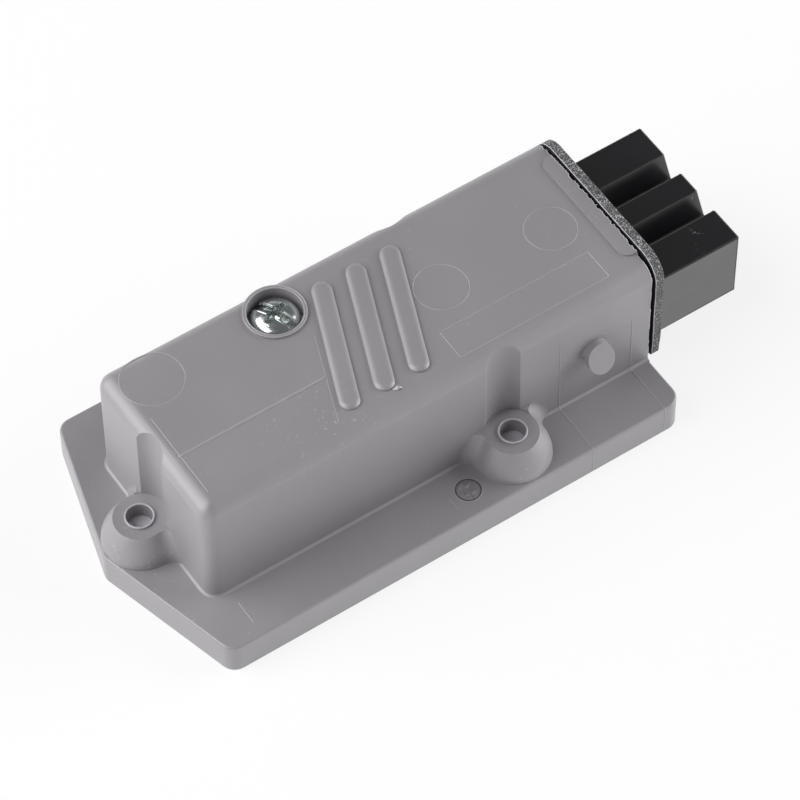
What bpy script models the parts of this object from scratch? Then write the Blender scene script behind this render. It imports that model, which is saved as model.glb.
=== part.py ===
"""Panel mount mains socket: a moulded hood on a fixing plate, open towards the panel.

Metres, +Z up, standing on the face that meets the panel.
X runs from the wiring end to the socket end, and Y runs across.
The origin lies under the middle of the overall length.
"""

import math

import bmesh
import bpy

MM = 0.001

# Clearance between pieces that meet
GAP = 0.3 * MM
# How far a cutter runs past the face that it cuts
OVERRUN = 1.0 * MM
# How far an added form reaches into the one that it joins, and a slight step beside a face
ROOTED = 0.5 * MM
SLIGHT_STEP = 0.05 * MM
# Points closer than this are one point
WELD = 0.001 * MM
# Corners that the real part leaves nearly square
SQUARE_CORNER = 0.2 * MM

# Fixing plate
PLATE_LENGTH = 96.5 * MM
PLATE_THICKNESS = 6.3 * MM
PLATE_POINT = 7.5 * MM
PLATE_CORNER = 2.7 * MM
PLATE_EDGE = 0.4 * MM
SKIRT = 2.6 * MM
PLATE_WEB = 2.2 * MM
WEB_RIB = 1.6 * MM
WEB_RIB_PITCH = 13.5 * MM

# Hood
END_LEDGE = 9.95 * MM
SIDE_LEDGE = 10.12 * MM
HOOD_RISE = 23.75 * MM
HOOD_DRAFT = math.radians(0.35)
HOOD_CORNER = 2.6 * MM
HOOD_FOOT = 0.6 * MM
ROOF_FILLET = 2.8 * MM
WALL = 2.2 * MM
ROOF = 2.2 * MM
END_WALL = 2.4 * MM
CAVITY_FILLET = 1.0 * MM

# Fixing bosses with their screwdriver scallops
END_BOSS_STANDOFF = 2.65 * MM
SIDE_BOSS_STANDOFF = 3.0 * MM
SIDE_BOSS_BACK = 29.6 * MM
BOSS_RISE = 5.7 * MM
BOSS_FOOT = 6.7 * MM
BOSS_SHOULDER = 4.35 * MM
END_BOSS_FILLET = 1.5 * MM
SIDE_BOSS_FILLET = 2.0 * MM
BOSS_FILLET_GROWTH = 0.9 * MM
SEAT_CUT = 0.15 * MM
SCALLOP_RADIUS = 4.7 * MM
SCALLOP_WALL = 0.95 * MM
FIXING_HOLE = 4.4 * MM
HOLE_RIM = 0.32 * MM
HOLE_RIM_RISE = 0.35 * MM
KNOCKOUT_DEPTH = 2.7 * MM
KNOCKOUT_WEB = 0.8 * MM

# Screw well in the roof
WELL_BACK = 55.5 * MM
WELL_BORE = 9.4 * MM
WELL_RIM = 0.68 * MM
WELL_RIM_RISE = 0.4 * MM
WELL_DEPTH = 3.6 * MM
WELL_FLOOR = 1.8 * MM

# Raised grip bars and the lip over the socket
BAR_COUNT = 3
BAR_BACK = 44.35 * MM
BAR_PITCH = 6.65 * MM
BAR_ACROSS = -0.35 * MM
BAR_LENGTH = 26.2 * MM
BAR_WIDTH = 3.5 * MM
BAR_RISE = 0.75 * MM
BAR_LEAN = math.radians(21.8)
# Share of the bar's width by which it draws in, at each share of its rise
BAR_DOME = ((0.0, 0.35), (0.07, 0.72), (0.18, 0.93), (0.32, 1.0))
LIP_WIDTH = 24.7 * MM
LIP_ACROSS = 0.1 * MM
LIP_DEPTH = 2.1 * MM
LIP_SETBACK = 0.1 * MM
LIP_RISE = 0.4 * MM
LIP_CORNER = 1.7 * MM

# Locking pegs on the two long walls
PEG_BACK = 11.4 * MM
PEG_HEIGHT = 11.2 * MM
PEG_DIAMETER = 5.1 * MM
PEG_LONG_REACH = 3.6 * MM
PEG_SHORT_REACH = 1.2 * MM

# Rubber seal on the socket face
SEAL_THICKNESS = 2.1 * MM
SEAL_LIFT = 0.45 * MM
SEAL_OVERHANG = 0.2 * MM
SEAL_STAND_PROUD = 0.8 * MM
SEAL_TOP_CORNER = 4.6 * MM
SEAL_FOOT_CORNER = 0.8 * MM

# Three-pronged crown of the contact carrier
CROWN_REACH = 20.05 * MM
CROWN_LIFT = 1.32 * MM
CROWN_HEIGHT = 14.5 * MM
CROWN_STEP = 0.2 * MM
CROWN_EDGE = 0.3 * MM
CROWN_ROOT = 3.0 * MM
MIDDLE_PRONG = 4.53 * MM
KEYWAY_TOP = 4.95 * MM
KEYWAY_FOOT = 0.4 * MM
KEYWAY_DEPTH = 4.05 * MM

# Contacts
BLADE_SLOT = 1.6 * MM
LEAF_WIDTH = 4.6 * MM
LEAF_THICKNESS = 0.6 * MM
LEAF_ROOT_SPREAD = 1.3 * MM
LEAF_PINCH_SPREAD = 0.55 * MM
LEAF_MOUTH_SPREAD = 1.1 * MM
LEAF_STRAIGHT_END = 1.0 * MM
LEAF_FLARE = 4.5 * MM
LEAF_END_CLEARANCE = 1.3 * MM
FACE_WALL = 3.0 * MM
LINE_LIFT = 8.75 * MM
EARTH_LIFT = 2.95 * MM
SPRING_LENGTH = 4.0 * MM
SPRING_BACK_FROM_PINCH = 5.0 * MM
SPRING_THICKNESS = 0.35 * MM

# Terminal cages behind the contacts
CAGE_LENGTH = 6.5 * MM
CAGE_WALL = 0.7 * MM
CHAMBER_WALL = 0.795 * MM
CAGE_THREAD_WALL = 1.7 * MM
CAGE_CLEAR_HEIGHT = 3.6 * MM
LINE_CAGE_FRONT = 8.5 * MM
EARTH_CAGE_FRONT = 17.5 * MM
CAGE_OFFSET = 1.5 * MM
TERMINAL_SCREW = 2.8 * MM
TERMINAL_HEAD = 4.8 * MM
TERMINAL_HEAD_HEIGHT = 1.9 * MM
TERMINAL_SLOT = 0.8 * MM
TERMINAL_SLOT_DEPTH = 1.1 * MM
GUARD_THICKNESS = 0.4 * MM
GUARD_TAB = 1.6 * MM

# Carrier block, its tail and the plate that closes it
BLOCK_REAR = 27.0 * MM
BLOCK_ROOF = 1.3 * MM
BLOCK_FLOOR = 0.2 * MM
TAIL_THICKNESS = 3.5 * MM
TAIL_ROOT = 3.0 * MM
PILLAR_RADIUS = 3.27 * MM
PILLAR_LENGTH = 10.0 * MM
GUIDE_THICKNESS = 2.0 * MM
GUIDE_MARGIN = 0.2 * MM
WIRE_HOLE = 3.4 * MM
GUIDE_PEG = 2.0 * MM
GUIDE_PEG_LENGTH = 4.0 * MM

# Screw that holds the carrier
SCREW_HEAD = 8.0 * MM
SCREW_HEAD_HEIGHT = 3.1 * MM
SCREW_HEAD_SIDE = 1.5 * MM
SCREW_SHANK = 3.6 * MM
SCREW_LENGTH = 11.0 * MM
SCREW_TIP = 1.2 * MM
RECESS_SPAN = 4.4 * MM
RECESS_WING = 0.9 * MM
RECESS_DEPTH = 2.1 * MM
RECESS_CORE = 1.9 * MM
RECESS_TAPER = 0.55
RECESS_TURN = math.radians(18)

# Smoothness of round shapes
SHARP_EDGE = math.radians(38)
CORNER_STEPS = 6
FILLET_STEPS = 6
FOOT_STEPS = 3
DOME_STEPS = 6
BOSS_STEPS = 24
SMALL_ROUND = 24
LARGE_ROUND = 40

# Places that follow from the sizes above
SOCKET_END = (PLATE_LENGTH - CROWN_REACH) / 2
ROOF_TOP = PLATE_THICKNESS + HOOD_RISE
ROOF_INNER = ROOF_TOP - ROOF
BOSS_TOP = PLATE_THICKNESS + BOSS_RISE
END_BOSS_BACK = PLATE_LENGTH - END_LEDGE + END_BOSS_STANDOFF
WELL_RIM_TOP = ROOF_TOP + WELL_RIM_RISE
WELL_FLOOR_TOP = WELL_RIM_TOP - WELL_DEPTH
WELL_OUTER_RADIUS = WELL_BORE / 2 + WELL_RIM
WELL_UNDERSIDE = WELL_FLOOR_TOP - WELL_FLOOR
CROWN_BOTTOM = PLATE_THICKNESS + CROWN_LIFT
CROWN_TOP = CROWN_BOTTOM + CROWN_HEIGHT
LINE_HEIGHT = CROWN_BOTTOM + LINE_LIFT
EARTH_HEIGHT = CROWN_BOTTOM + EARTH_LIFT
CAGE_HEIGHT = CAGE_WALL + CAGE_CLEAR_HEIGHT + CAGE_THREAD_WALL
LINE_CAGE_CENTRE = LINE_HEIGHT + CAGE_HEIGHT / 2 - LEAF_WIDTH / 2 - GAP
EARTH_CAGE_CENTRE = EARTH_HEIGHT - CAGE_HEIGHT / 2 + CAGE_OFFSET
HEAD_ROOM = GAP + TERMINAL_HEAD_HEIGHT
BLOCK_TOP = LINE_CAGE_CENTRE + CAGE_HEIGHT / 2 + HEAD_ROOM + BLOCK_ROOF
BLOCK_BOTTOM = EARTH_CAGE_CENTRE - CAGE_HEIGHT / 2 - HEAD_ROOM - BLOCK_FLOOR
BLOCK_FRONT = END_WALL + GAP
TAIL_TOP = WELL_UNDERSIDE - GAP
TAIL_BOTTOM = TAIL_TOP - TAIL_THICKNESS
SPRING_HALF = LEAF_ROOT_SPREAD + LEAF_THICKNESS / 2
CHANNEL_HALF = SPRING_HALF + SPRING_THICKNESS + GAP
FACE_BACK = CROWN_REACH - FACE_WALL
LEAF_MOUTH = FACE_BACK - LEAF_END_CLEARANCE
LEAF_PINCH = LEAF_MOUTH - LEAF_FLARE

# Widths, from the crown outwards
CAGE_WIDTH = TERMINAL_SCREW + 2 * GAP + 2 * CAGE_WALL
OUTER_PRONG = CAGE_WIDTH + 2 * GAP + 2 * CHAMBER_WALL
CROWN_HALF = MIDDLE_PRONG / 2 + KEYWAY_TOP + OUTER_PRONG
CARRIER_HALF = CROWN_HALF - CROWN_STEP
LINE_ACROSS = CROWN_HALF - OUTER_PRONG / 2
LINE_PLACES = (-LINE_ACROSS, 0.0, LINE_ACROSS)
WELL_ACROSS = CARRIER_HALF - PILLAR_RADIUS


def hood_draft(height):
    """Draw of the hood's walls at a height, for easing it out of its mould."""
    return math.tan(HOOD_DRAFT) * (height - PLATE_THICKNESS)


def hood_foot_half_width():
    """Half of the hood's width at the plate, so that walls and scallops clear the carrier."""
    wall = WALL + hood_draft(BLOCK_TOP)
    scallop = SCALLOP_RADIUS + SCALLOP_WALL - SIDE_BOSS_STANDOFF
    return CARRIER_HALF + GAP + max(wall, scallop)


HOOD_HALF = hood_foot_half_width()
PLATE_HALF = HOOD_HALF + SIDE_LEDGE
BOSS_ACROSS = HOOD_HALF + SIDE_BOSS_STANDOFF


def hood_half_width(height):
    """Half of the hood's width at a height."""
    return HOOD_HALF - hood_draft(height)


def hood_length(height):
    """Length of the hood at a height, from the socket end to the wiring end."""
    return PLATE_LENGTH - END_LEDGE - hood_draft(height)


# Scene and materials

def clear_scene():
    """Removes whatever the file opened with."""
    for item in list(bpy.data.objects):
        bpy.data.objects.remove(item, do_unlink=True)


def make_material(name, colour, roughness, metallic=0.0):
    """A plain finish with the colour, roughness and metallic value of the real one."""
    material = bpy.data.materials.new(name)
    material.use_nodes = True
    shader = material.node_tree.nodes["Principled BSDF"]
    shader.inputs["Base Color"].default_value = (*colour, 1.0)
    shader.inputs["Roughness"].default_value = roughness
    shader.inputs["Metallic"].default_value = metallic
    return material


# Building blocks

def add_object(name, bm):
    """Puts a finished mesh into the scene with its faces pointing out."""
    bmesh.ops.recalc_face_normals(bm, faces=bm.faces)
    mesh = bpy.data.meshes.new(name)
    bm.to_mesh(mesh)
    bm.free()
    item = bpy.data.objects.new(name, mesh)
    bpy.context.scene.collection.objects.link(item)
    return item


def loft(loops, name="shape"):
    """A solid skinned over closed loops of equal length, capped at both ends."""
    bm = bmesh.new()
    rings = [[bm.verts.new(point) for point in loop] for loop in loops]
    for lower, upper in zip(rings, rings[1:]):
        for k, corner in enumerate(lower):
            n = (k + 1) % len(lower)
            bm.faces.new((corner, lower[n], upper[n], upper[k]))
    bm.faces.new(rings[0])
    bm.faces.new(rings[-1])
    return add_object(name, bm)


def place(a, b, along, axis):
    """A point from two coordinates in a section and one along the axis."""
    if axis == "X":
        return (along, a, b)
    if axis == "Y":
        return (a, along, b)
    return (a, b, along)


def prism(outline, low, high, axis="Z"):
    """A flat outline extruded along an axis."""
    return loft([[place(a, b, level, axis) for a, b in outline] for level in (low, high)])


def box(x_range, y_range, z_range):
    """A block between two places on each axis."""
    (x0, x1), (y0, y1) = x_range, y_range
    return prism([(x0, y0), (x1, y0), (x1, y1), (x0, y1)], *z_range)


def arc(centre, radius, start, end, steps):
    """Points along an arc, with its angles in radians."""
    angles = [start + (end - start) * k / steps for k in range(steps + 1)]
    return [(centre[0] + radius * math.cos(t), centre[1] + radius * math.sin(t)) for t in angles]


def circle(centre, radius, steps):
    """Points round a full circle, without a doubled end."""
    return arc(centre, radius, 0.0, math.tau, steps)[:-1]


def rod(centre, radius, low, high, axis="Z", steps=SMALL_ROUND):
    """A round bar or hole along an axis."""
    return prism(circle(centre, radius, steps), low, high, axis)


def turned(profile, centre, steps=SMALL_ROUND):
    """A solid of revolution about Z, spun from a profile of radius and height."""
    bm = bmesh.new()
    points = [bm.verts.new((radius, 0.0, height)) for radius, height in profile]
    edges = [bm.edges.new(pair) for pair in zip(points, points[1:])]
    bmesh.ops.spin(bm, geom=points + edges, cent=(0.0, 0.0, 0.0), axis=(0.0, 0.0, 1.0),
                   angle=math.tau, steps=steps)
    bmesh.ops.remove_doubles(bm, verts=bm.verts, dist=WELD)
    bmesh.ops.translate(bm, verts=bm.verts, vec=(centre[0], centre[1], 0.0))
    return add_object("turned", bm)


def rounded(corners, radii, steps=CORNER_STEPS):
    """A polygon with each corner replaced by an arc that meets both sides."""
    outline = []
    count = len(corners)
    for k, (x, y) in enumerate(corners):
        before, after = corners[k - 1], corners[(k + 1) % count]
        a = math.atan2(before[1] - y, before[0] - x)
        b = math.atan2(after[1] - y, after[0] - x)
        half = ((b - a) % math.tau) / 2
        if half > math.pi / 2:
            half -= math.pi
        middle = a + half
        reach = radii[k] / abs(math.sin(half))
        centre = (x + reach * math.cos(middle), y + reach * math.sin(middle))
        turn = math.copysign(math.pi / 2 - abs(half), half)
        outline += arc(centre, radii[k], middle + math.pi + turn, middle + math.pi - turn, steps)
    return outline


def apply_modifiers(item):
    """Writes an object's modifiers into its mesh."""
    graph = bpy.context.evaluated_depsgraph_get()
    finished = bpy.data.meshes.new_from_object(item.evaluated_get(graph))
    item.modifiers.clear()
    item.data = finished


def combine(item, operation, *tools):
    """Adds tools to an object, or cuts them out of it, and removes them."""
    for tool in tools:
        step = item.modifiers.new("combine", "BOOLEAN")
        step.operation = operation
        step.object = tool
        apply_modifiers(item)
        bpy.data.objects.remove(tool, do_unlink=True)
    return item


def join(item, *tools):
    """Fuses tools into an object."""
    return combine(item, "UNION", *tools)


def cut(item, *tools):
    """Cuts tools out of an object."""
    return combine(item, "DIFFERENCE", *tools)


def soften(item, width, segments=2):
    """Rounds an object's sharp edges."""
    step = item.modifiers.new("soften", "BEVEL")
    step.width = width
    step.segments = segments
    step.limit_method = "ANGLE"
    step.angle_limit = SHARP_EDGE
    apply_modifiers(item)
    return item


def finish(item, name, material):
    """Names a piece, gives it its material and smooths its round faces."""
    item.name = name
    item.data.name = name
    item.data.materials.clear()
    item.data.materials.append(material)
    item.data.shade_smooth()
    item.data.set_sharp_from_angle(angle=SHARP_EDGE)
    return item


# Fixing plate

def plate_corners(inset):
    """Corners of the plate's outline, set in by a distance on every side."""
    half = PLATE_HALF - inset
    lean = math.atan2(PLATE_POINT, PLATE_HALF)
    point = PLATE_LENGTH - inset / math.cos(lean)
    shoulder = point - half * math.tan(lean)
    right = SOCKET_END - inset
    left = SOCKET_END - shoulder
    return [(right, -half), (right, half), (left, half), (SOCKET_END - point, 0.0), (left, -half)]


def plate_outline(inset):
    """Rounded outline of the plate, set in by a distance on every side."""
    radius = max(PLATE_CORNER - inset, PLATE_EDGE)
    return rounded(plate_corners(inset), [radius] * len(plate_corners(inset)))


def make_plate():
    """The plate with its upper edge eased."""
    levels = [(0.0, 0.0), (0.0, PLATE_THICKNESS - PLATE_EDGE)]
    for k in range(1, 4):
        t = math.radians(30 * k)
        ease = PLATE_EDGE * (1 - math.cos(t))
        levels.append((ease, PLATE_THICKNESS - PLATE_EDGE * (1 - math.sin(t))))
    return loft([[(x, y, z) for x, y in plate_outline(inset)] for inset, z in levels])


# Hood

def hood_outline(height, inset, end_inset):
    """Outline of the hood at a height: square at the socket end, rounded at the other."""
    half = hood_half_width(height) - inset
    left = SOCKET_END - hood_length(height) + inset
    right = SOCKET_END - end_inset
    radius = max(HOOD_CORNER - inset, SQUARE_CORNER)
    front = arc((left + radius, radius - half), radius, -math.pi / 2, -math.pi, CORNER_STEPS)
    rear = arc((left + radius, half - radius), radius, math.pi, math.pi / 2, CORNER_STEPS)
    return [(x, y, height) for x, y in [(right, -half), *front, *rear, (right, half)]]


def make_hood():
    """The hood's outer form, with draft, upright corners and fillets at foot and roof."""
    loops = [hood_outline(PLATE_THICKNESS / 2, -HOOD_FOOT, 0.0)]
    for k in range(FOOT_STEPS + 1):
        t = math.pi / 2 * k / FOOT_STEPS
        height = PLATE_THICKNESS + HOOD_FOOT * (1 - math.cos(t))
        loops.append(hood_outline(height, -HOOD_FOOT * (1 - math.sin(t)), 0.0))
    for k in range(FILLET_STEPS + 1):
        t = math.pi / 2 * k / FILLET_STEPS
        height = ROOF_TOP - ROOF_FILLET * (1 - math.sin(t))
        loops.append(hood_outline(height, ROOF_FILLET * (1 - math.cos(t)), 0.0))
    return loft(loops)


def boss_places():
    """Each boss's axis, its turn towards its wall, the distance to it and the blend there."""
    end = (END_BOSS_STANDOFF, END_BOSS_FILLET)
    side = (SIDE_BOSS_STANDOFF, SIDE_BOSS_FILLET)
    side_x = SOCKET_END - SIDE_BOSS_BACK
    return [((SOCKET_END - END_BOSS_BACK, 0.0), -math.pi / 2, *end),
            ((side_x, -BOSS_ACROSS), 0.0, *side),
            ((side_x, BOSS_ACROSS), math.pi, *side)]


def boss_outline(radius, to_wall, fillet):
    """A round boss that flows into a flat wall through a fillet on each side."""
    side = max((radius + fillet) ** 2 - (to_wall - fillet) ** 2, radius ** 2)
    reach = math.sqrt(side)
    centre = (reach, to_wall - fillet)
    turn = math.atan2(centre[1], reach)
    right = arc(centre, fillet, math.pi / 2, math.pi + turn, CORNER_STEPS)
    nose = arc((0.0, 0.0), radius, turn, -math.pi - turn, BOSS_STEPS)
    left = [(-x, y) for x, y in reversed(right)]
    inside = to_wall + WALL / 2
    return [(reach, inside), *right, *nose[1:-1], *left, (-reach, inside)]


def make_boss(axis, facing, to_wall, fillet):
    """A domed boss, steep at its foot, whose blend into the hood's wall grows downwards."""
    top = BOSS_TOP + SEAT_CUT
    levels = [(PLATE_THICKNESS - PLATE_EDGE, 1.0)]
    for k in range(DOME_STEPS + 1):
        levels.append((PLATE_THICKNESS + (top - PLATE_THICKNESS) * k / DOME_STEPS,
                       math.cos(math.pi / 2 * k / DOME_STEPS)))
    loops = []
    for height, swell in levels:
        radius = BOSS_SHOULDER + (BOSS_FOOT - BOSS_SHOULDER) * swell
        outline = boss_outline(radius, to_wall + hood_draft(height),
                               fillet + BOSS_FILLET_GROWTH * swell)
        loops.append([(axis[0] + x * math.cos(facing) - y * math.sin(facing),
                       axis[1] + x * math.sin(facing) + y * math.cos(facing),
                       height) for x, y in outline])
    return loft(loops)


def make_peg(side):
    """A locking peg: a round stub whose end slopes back towards the wall at its top."""
    x = SOCKET_END - PEG_BACK
    z = PLATE_THICKNESS + PEG_HEIGHT
    ring = circle((x, z), PEG_DIAMETER / 2, SMALL_ROUND)
    wall = hood_half_width(z)
    slope = (PEG_LONG_REACH - PEG_SHORT_REACH) / PEG_DIAMETER
    inner = [(a, side * (wall - WALL / 2), b) for a, b in ring]
    outer = []
    for a, b in ring:
        reach = PEG_SHORT_REACH + slope * (z + PEG_DIAMETER / 2 - b)
        outer.append((a, side * (wall + reach), b))
    return loft([inner, outer])


def make_bar(index):
    """A leaning grip bar with round ends and a domed top."""
    offset = BAR_PITCH * (index - (BAR_COUNT - 1) / 2)
    centre = (SOCKET_END - BAR_BACK + offset, BAR_ACROSS)
    loops = []
    levels = [(0.0, -ROOF / 2)] + [(draw, rise * BAR_RISE) for draw, rise in BAR_DOME]
    for draw, rise in levels:
        radius = BAR_WIDTH / 2 - draw * BAR_WIDTH
        straight = BAR_LENGTH / 2 - BAR_WIDTH / 2
        far = arc((0.0, straight), radius, 0.0, math.pi, CORNER_STEPS)
        near = arc((0.0, -straight), radius, math.pi, math.tau, CORNER_STEPS)
        lean = (math.cos(BAR_LEAN), math.sin(BAR_LEAN))
        loops.append([(centre[0] + x * lean[0] + y * lean[1],
                       centre[1] - x * lean[1] + y * lean[0],
                       ROOF_TOP + rise) for x, y in far + near])
    return loft(loops)


def make_lip():
    """The low pad over the socket, rounded on its far corners."""
    right = SOCKET_END - LIP_SETBACK
    left = right - LIP_DEPTH
    front = LIP_ACROSS - LIP_WIDTH / 2
    rear = LIP_ACROSS + LIP_WIDTH / 2
    corners = [(right, front), (right, rear), (left, rear), (left, front)]
    outline = rounded(corners, [LIP_RISE / 2, LIP_RISE / 2, LIP_CORNER, LIP_CORNER])
    return prism(outline, ROOF_TOP - ROOF / 2, ROOF_TOP + LIP_RISE)


def make_cavity():
    """Wiring space: the hood's form set in by the wall, less what stands into it."""
    levels = [(-OVERRUN, WALL), (PLATE_THICKNESS, WALL), (ROOF_INNER - CAVITY_FILLET, WALL),
              (ROOF_INNER, WALL + CAVITY_FILLET)]
    cavity = loft([hood_outline(height, inset, END_WALL) for height, inset in levels])
    for axis, *_ in boss_places():
        sleeve = SCALLOP_RADIUS + SCALLOP_WALL
        cut(cavity, rod(axis, sleeve, BOSS_TOP - SCALLOP_WALL, ROOF_TOP, steps=LARGE_ROUND))
    well = (SOCKET_END - WELL_BACK, WELL_ACROSS)
    return cut(cavity, rod(well, WELL_OUTER_RADIUS, WELL_UNDERSIDE, ROOF_TOP, steps=LARGE_ROUND))


def make_plate_pockets():
    """Hollows under the plate's ledges, between its skirt, the hood's walls and the webs."""
    depth = PLATE_THICKNESS - PLATE_WEB
    pockets = prism(plate_outline(SKIRT), -OVERRUN, depth)
    left = SOCKET_END - PLATE_LENGTH + END_LEDGE
    right = SOCKET_END + OVERRUN
    hood = [(right, -HOOD_HALF), (right, HOOD_HALF), (left, HOOD_HALF), (left, -HOOD_HALF)]
    foot = rounded(hood, [SQUARE_CORNER, SQUARE_CORNER, HOOD_CORNER, HOOD_CORNER])
    below = -2 * OVERRUN
    cut(pockets, prism(foot, below, PLATE_THICKNESS))
    for axis, *_ in boss_places():
        cut(pockets, rod(axis, BOSS_FOOT, below, PLATE_THICKNESS, steps=LARGE_ROUND))
    for k in range(1, int(PLATE_LENGTH / WEB_RIB_PITCH) + 1):
        x = SOCKET_END - k * WEB_RIB_PITCH
        span = (x - WEB_RIB / 2, x + WEB_RIB / 2)
        cut(pockets, box(span, (-PLATE_HALF, PLATE_HALF), (below, PLATE_THICKNESS)))
    return pockets


def cut_scallops(housing):
    """Screwdriver scallops in the walls, which also face the bosses' seats."""
    for axis, *_ in boss_places():
        top = ROOF_TOP + OVERRUN
        cut(housing, rod(axis, SCALLOP_RADIUS, BOSS_TOP, top, steps=LARGE_ROUND))


def drill_bosses(housing):
    """Rimmed fixing holes, each still closed by a thin knock-out web."""
    radius = FIXING_HOLE / 2
    web_top = BOSS_TOP - KNOCKOUT_DEPTH
    for axis, *_ in boss_places():
        rim_top = BOSS_TOP + HOLE_RIM_RISE
        join(housing, rod(axis, radius + HOLE_RIM, BOSS_TOP - ROOTED, rim_top))
        cut(housing, rod(axis, radius, web_top, rim_top + OVERRUN),
            rod(axis, radius, -OVERRUN, web_top - KNOCKOUT_WEB))


def bore_well(housing):
    """The well for the carrier's screw, with its clearance hole."""
    centre = (SOCKET_END - WELL_BACK, WELL_ACROSS)
    above = WELL_RIM_TOP + OVERRUN
    cut(housing, rod(centre, WELL_BORE / 2, WELL_FLOOR_TOP, above, steps=LARGE_ROUND),
        rod(centre, SCREW_SHANK / 2 + GAP, WELL_UNDERSIDE - OVERRUN, above))


def make_housing(material):
    """The one-piece moulding: plate, hood, bosses, pegs, bars and lip."""
    housing = make_plate()
    join(housing, make_hood())
    join(housing, *[make_boss(*place) for place in boss_places()])
    well = (SOCKET_END - WELL_BACK, WELL_ACROSS)
    turret = rod(well, WELL_OUTER_RADIUS, WELL_UNDERSIDE, WELL_RIM_TOP, steps=LARGE_ROUND)
    join(housing, turret, make_peg(-1), make_peg(1), make_lip())
    join(housing, *[make_bar(index) for index in range(BAR_COUNT)])
    cut_scallops(housing)
    cut(housing, make_cavity(), make_plate_pockets())
    drill_bosses(housing)
    bore_well(housing)
    window = prism(crown_outline(GAP, keyways=False), SOCKET_END - END_WALL - OVERRUN,
                   SOCKET_END + OVERRUN, "X")
    cut(housing, window)
    return finish(housing, "housing", material)


# Socket face

def crown_outline(grow=0.0, keyways=True):
    """Section of the crown, across and up: two V keyways part its three prongs."""
    half = CROWN_HALF + grow
    top = CROWN_TOP + grow
    outline = [(-half, CROWN_BOTTOM - grow), (half, CROWN_BOTTOM - grow), (half, top)]
    if keyways:
        centre = MIDDLE_PRONG / 2 + KEYWAY_TOP / 2
        foot = top - KEYWAY_DEPTH
        keyway = [(KEYWAY_TOP / 2, top), (KEYWAY_FOOT / 2, foot),
                  (-KEYWAY_FOOT / 2, foot), (-KEYWAY_TOP / 2, top)]
        for side in (centre, -centre):
            outline += [(side + across, height) for across, height in keyway]
    return outline + [(-half, top)]


def make_face_seal(material):
    """Flat rubber seal with one window for the crown."""
    half = HOOD_HALF + SEAL_OVERHANG
    bottom = PLATE_THICKNESS + SEAL_LIFT
    top = ROOF_TOP + SEAL_STAND_PROUD
    corners = [(-half, bottom), (half, bottom), (half, top), (-half, top)]
    radii = [SEAL_FOOT_CORNER, SEAL_FOOT_CORNER, SEAL_TOP_CORNER, SEAL_TOP_CORNER]
    back = SOCKET_END + GAP
    front = back + SEAL_THICKNESS
    seal = prism(rounded(corners, radii), back, front, "X")
    window = prism(crown_outline(GAP, keyways=False), back - OVERRUN, front + OVERRUN, "X")
    return finish(cut(seal, window), "face_seal", material)


# Contacts, built about a blade centre and then turned and placed

def leaf_line(offset):
    """One side of a contact leaf, from its root to its mouth, as back and spread."""
    root = -LINE_CAGE_FRONT
    return [(root, LEAF_ROOT_SPREAD + offset), (LEAF_STRAIGHT_END, LEAF_ROOT_SPREAD + offset),
            (LEAF_PINCH, LEAF_PINCH_SPREAD + offset), (LEAF_MOUTH, LEAF_MOUTH_SPREAD + offset)]


def make_leaf(side, turn_flat, cage_front, centre):
    """One spring leaf of a contact, pinched towards the blade and flared at its mouth."""
    outer = leaf_line(LEAF_THICKNESS / 2)
    inner = leaf_line(-LEAF_THICKNESS / 2)
    root = -cage_front - CAGE_WALL / 2
    outer[0] = (root, outer[0][1])
    inner[0] = (root, inner[0][1])
    outline = outer + list(reversed(inner))
    loops = []
    for width in (-LEAF_WIDTH / 2, LEAF_WIDTH / 2):
        loop = []
        for ahead, spread in outline:
            x = SOCKET_END + ahead
            y, z = (width, side * spread) if turn_flat else (side * spread, width)
            loop.append((x, centre[0] + y, centre[1] + z))
        loops.append(loop)
    return loft(loops)


def cage_levels(centre, thread_up):
    """Heights of a cage: outer low and high, inner low and high."""
    low = centre - CAGE_HEIGHT / 2
    high = centre + CAGE_HEIGHT / 2
    if thread_up:
        return low, high, low + CAGE_WALL, high - CAGE_THREAD_WALL
    return low, high, low + CAGE_THREAD_WALL, high - CAGE_WALL


def make_contact(name, material, across, blade_height, cage_centre, cage_front, thread_up):
    """A female contact: a wire cage with a threaded wall, and two spring leaves."""
    front = SOCKET_END - cage_front
    back = front - CAGE_LENGTH
    low, high, inner_low, inner_high = cage_levels(cage_centre, thread_up)
    half = CAGE_WIDTH / 2
    contact = box((back, front), (across - half, across + half), (low, high))
    inner = half - CAGE_WALL
    cut(contact, box((back - OVERRUN, front - CAGE_WALL), (across - inner, across + inner),
                     (inner_low, inner_high)))
    wall = (inner_high, high + OVERRUN) if thread_up else (low - OVERRUN, inner_low)
    reach = OVERRUN if thread_up else 0.0
    middle = (front + back) / 2
    cut(contact, rod((middle, across), TERMINAL_SCREW / 2 + GAP, wall[0] - reach,
                     wall[1] + OVERRUN - reach))
    for side in (-1, 1):
        join(contact, make_leaf(side, not thread_up, cage_front, (across, blade_height)))
    return finish(contact, name, material)


def make_contact_spring(name, material, across, blade_height, turn_flat):
    """A steel clip over a contact's leaves, open on one side."""
    ahead = SOCKET_END + LEAF_PINCH - SPRING_BACK_FROM_PINCH
    inner = SPRING_HALF
    outer = inner + SPRING_THICKNESS
    reach = LEAF_WIDTH / 2 + GAP
    top = reach + SPRING_THICKNESS
    foot = -LEAF_WIDTH / 2
    profile = [(-outer, foot), (-inner, foot), (-inner, reach), (inner, reach),
               (inner, foot), (outer, foot), (outer, top), (-outer, top)]
    if turn_flat:
        profile = [(b, a) for a, b in profile]
    outline = [(across + a, blade_height + b) for a, b in profile]
    return finish(prism(outline, ahead, ahead + SPRING_LENGTH, "X"), name, material)


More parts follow.
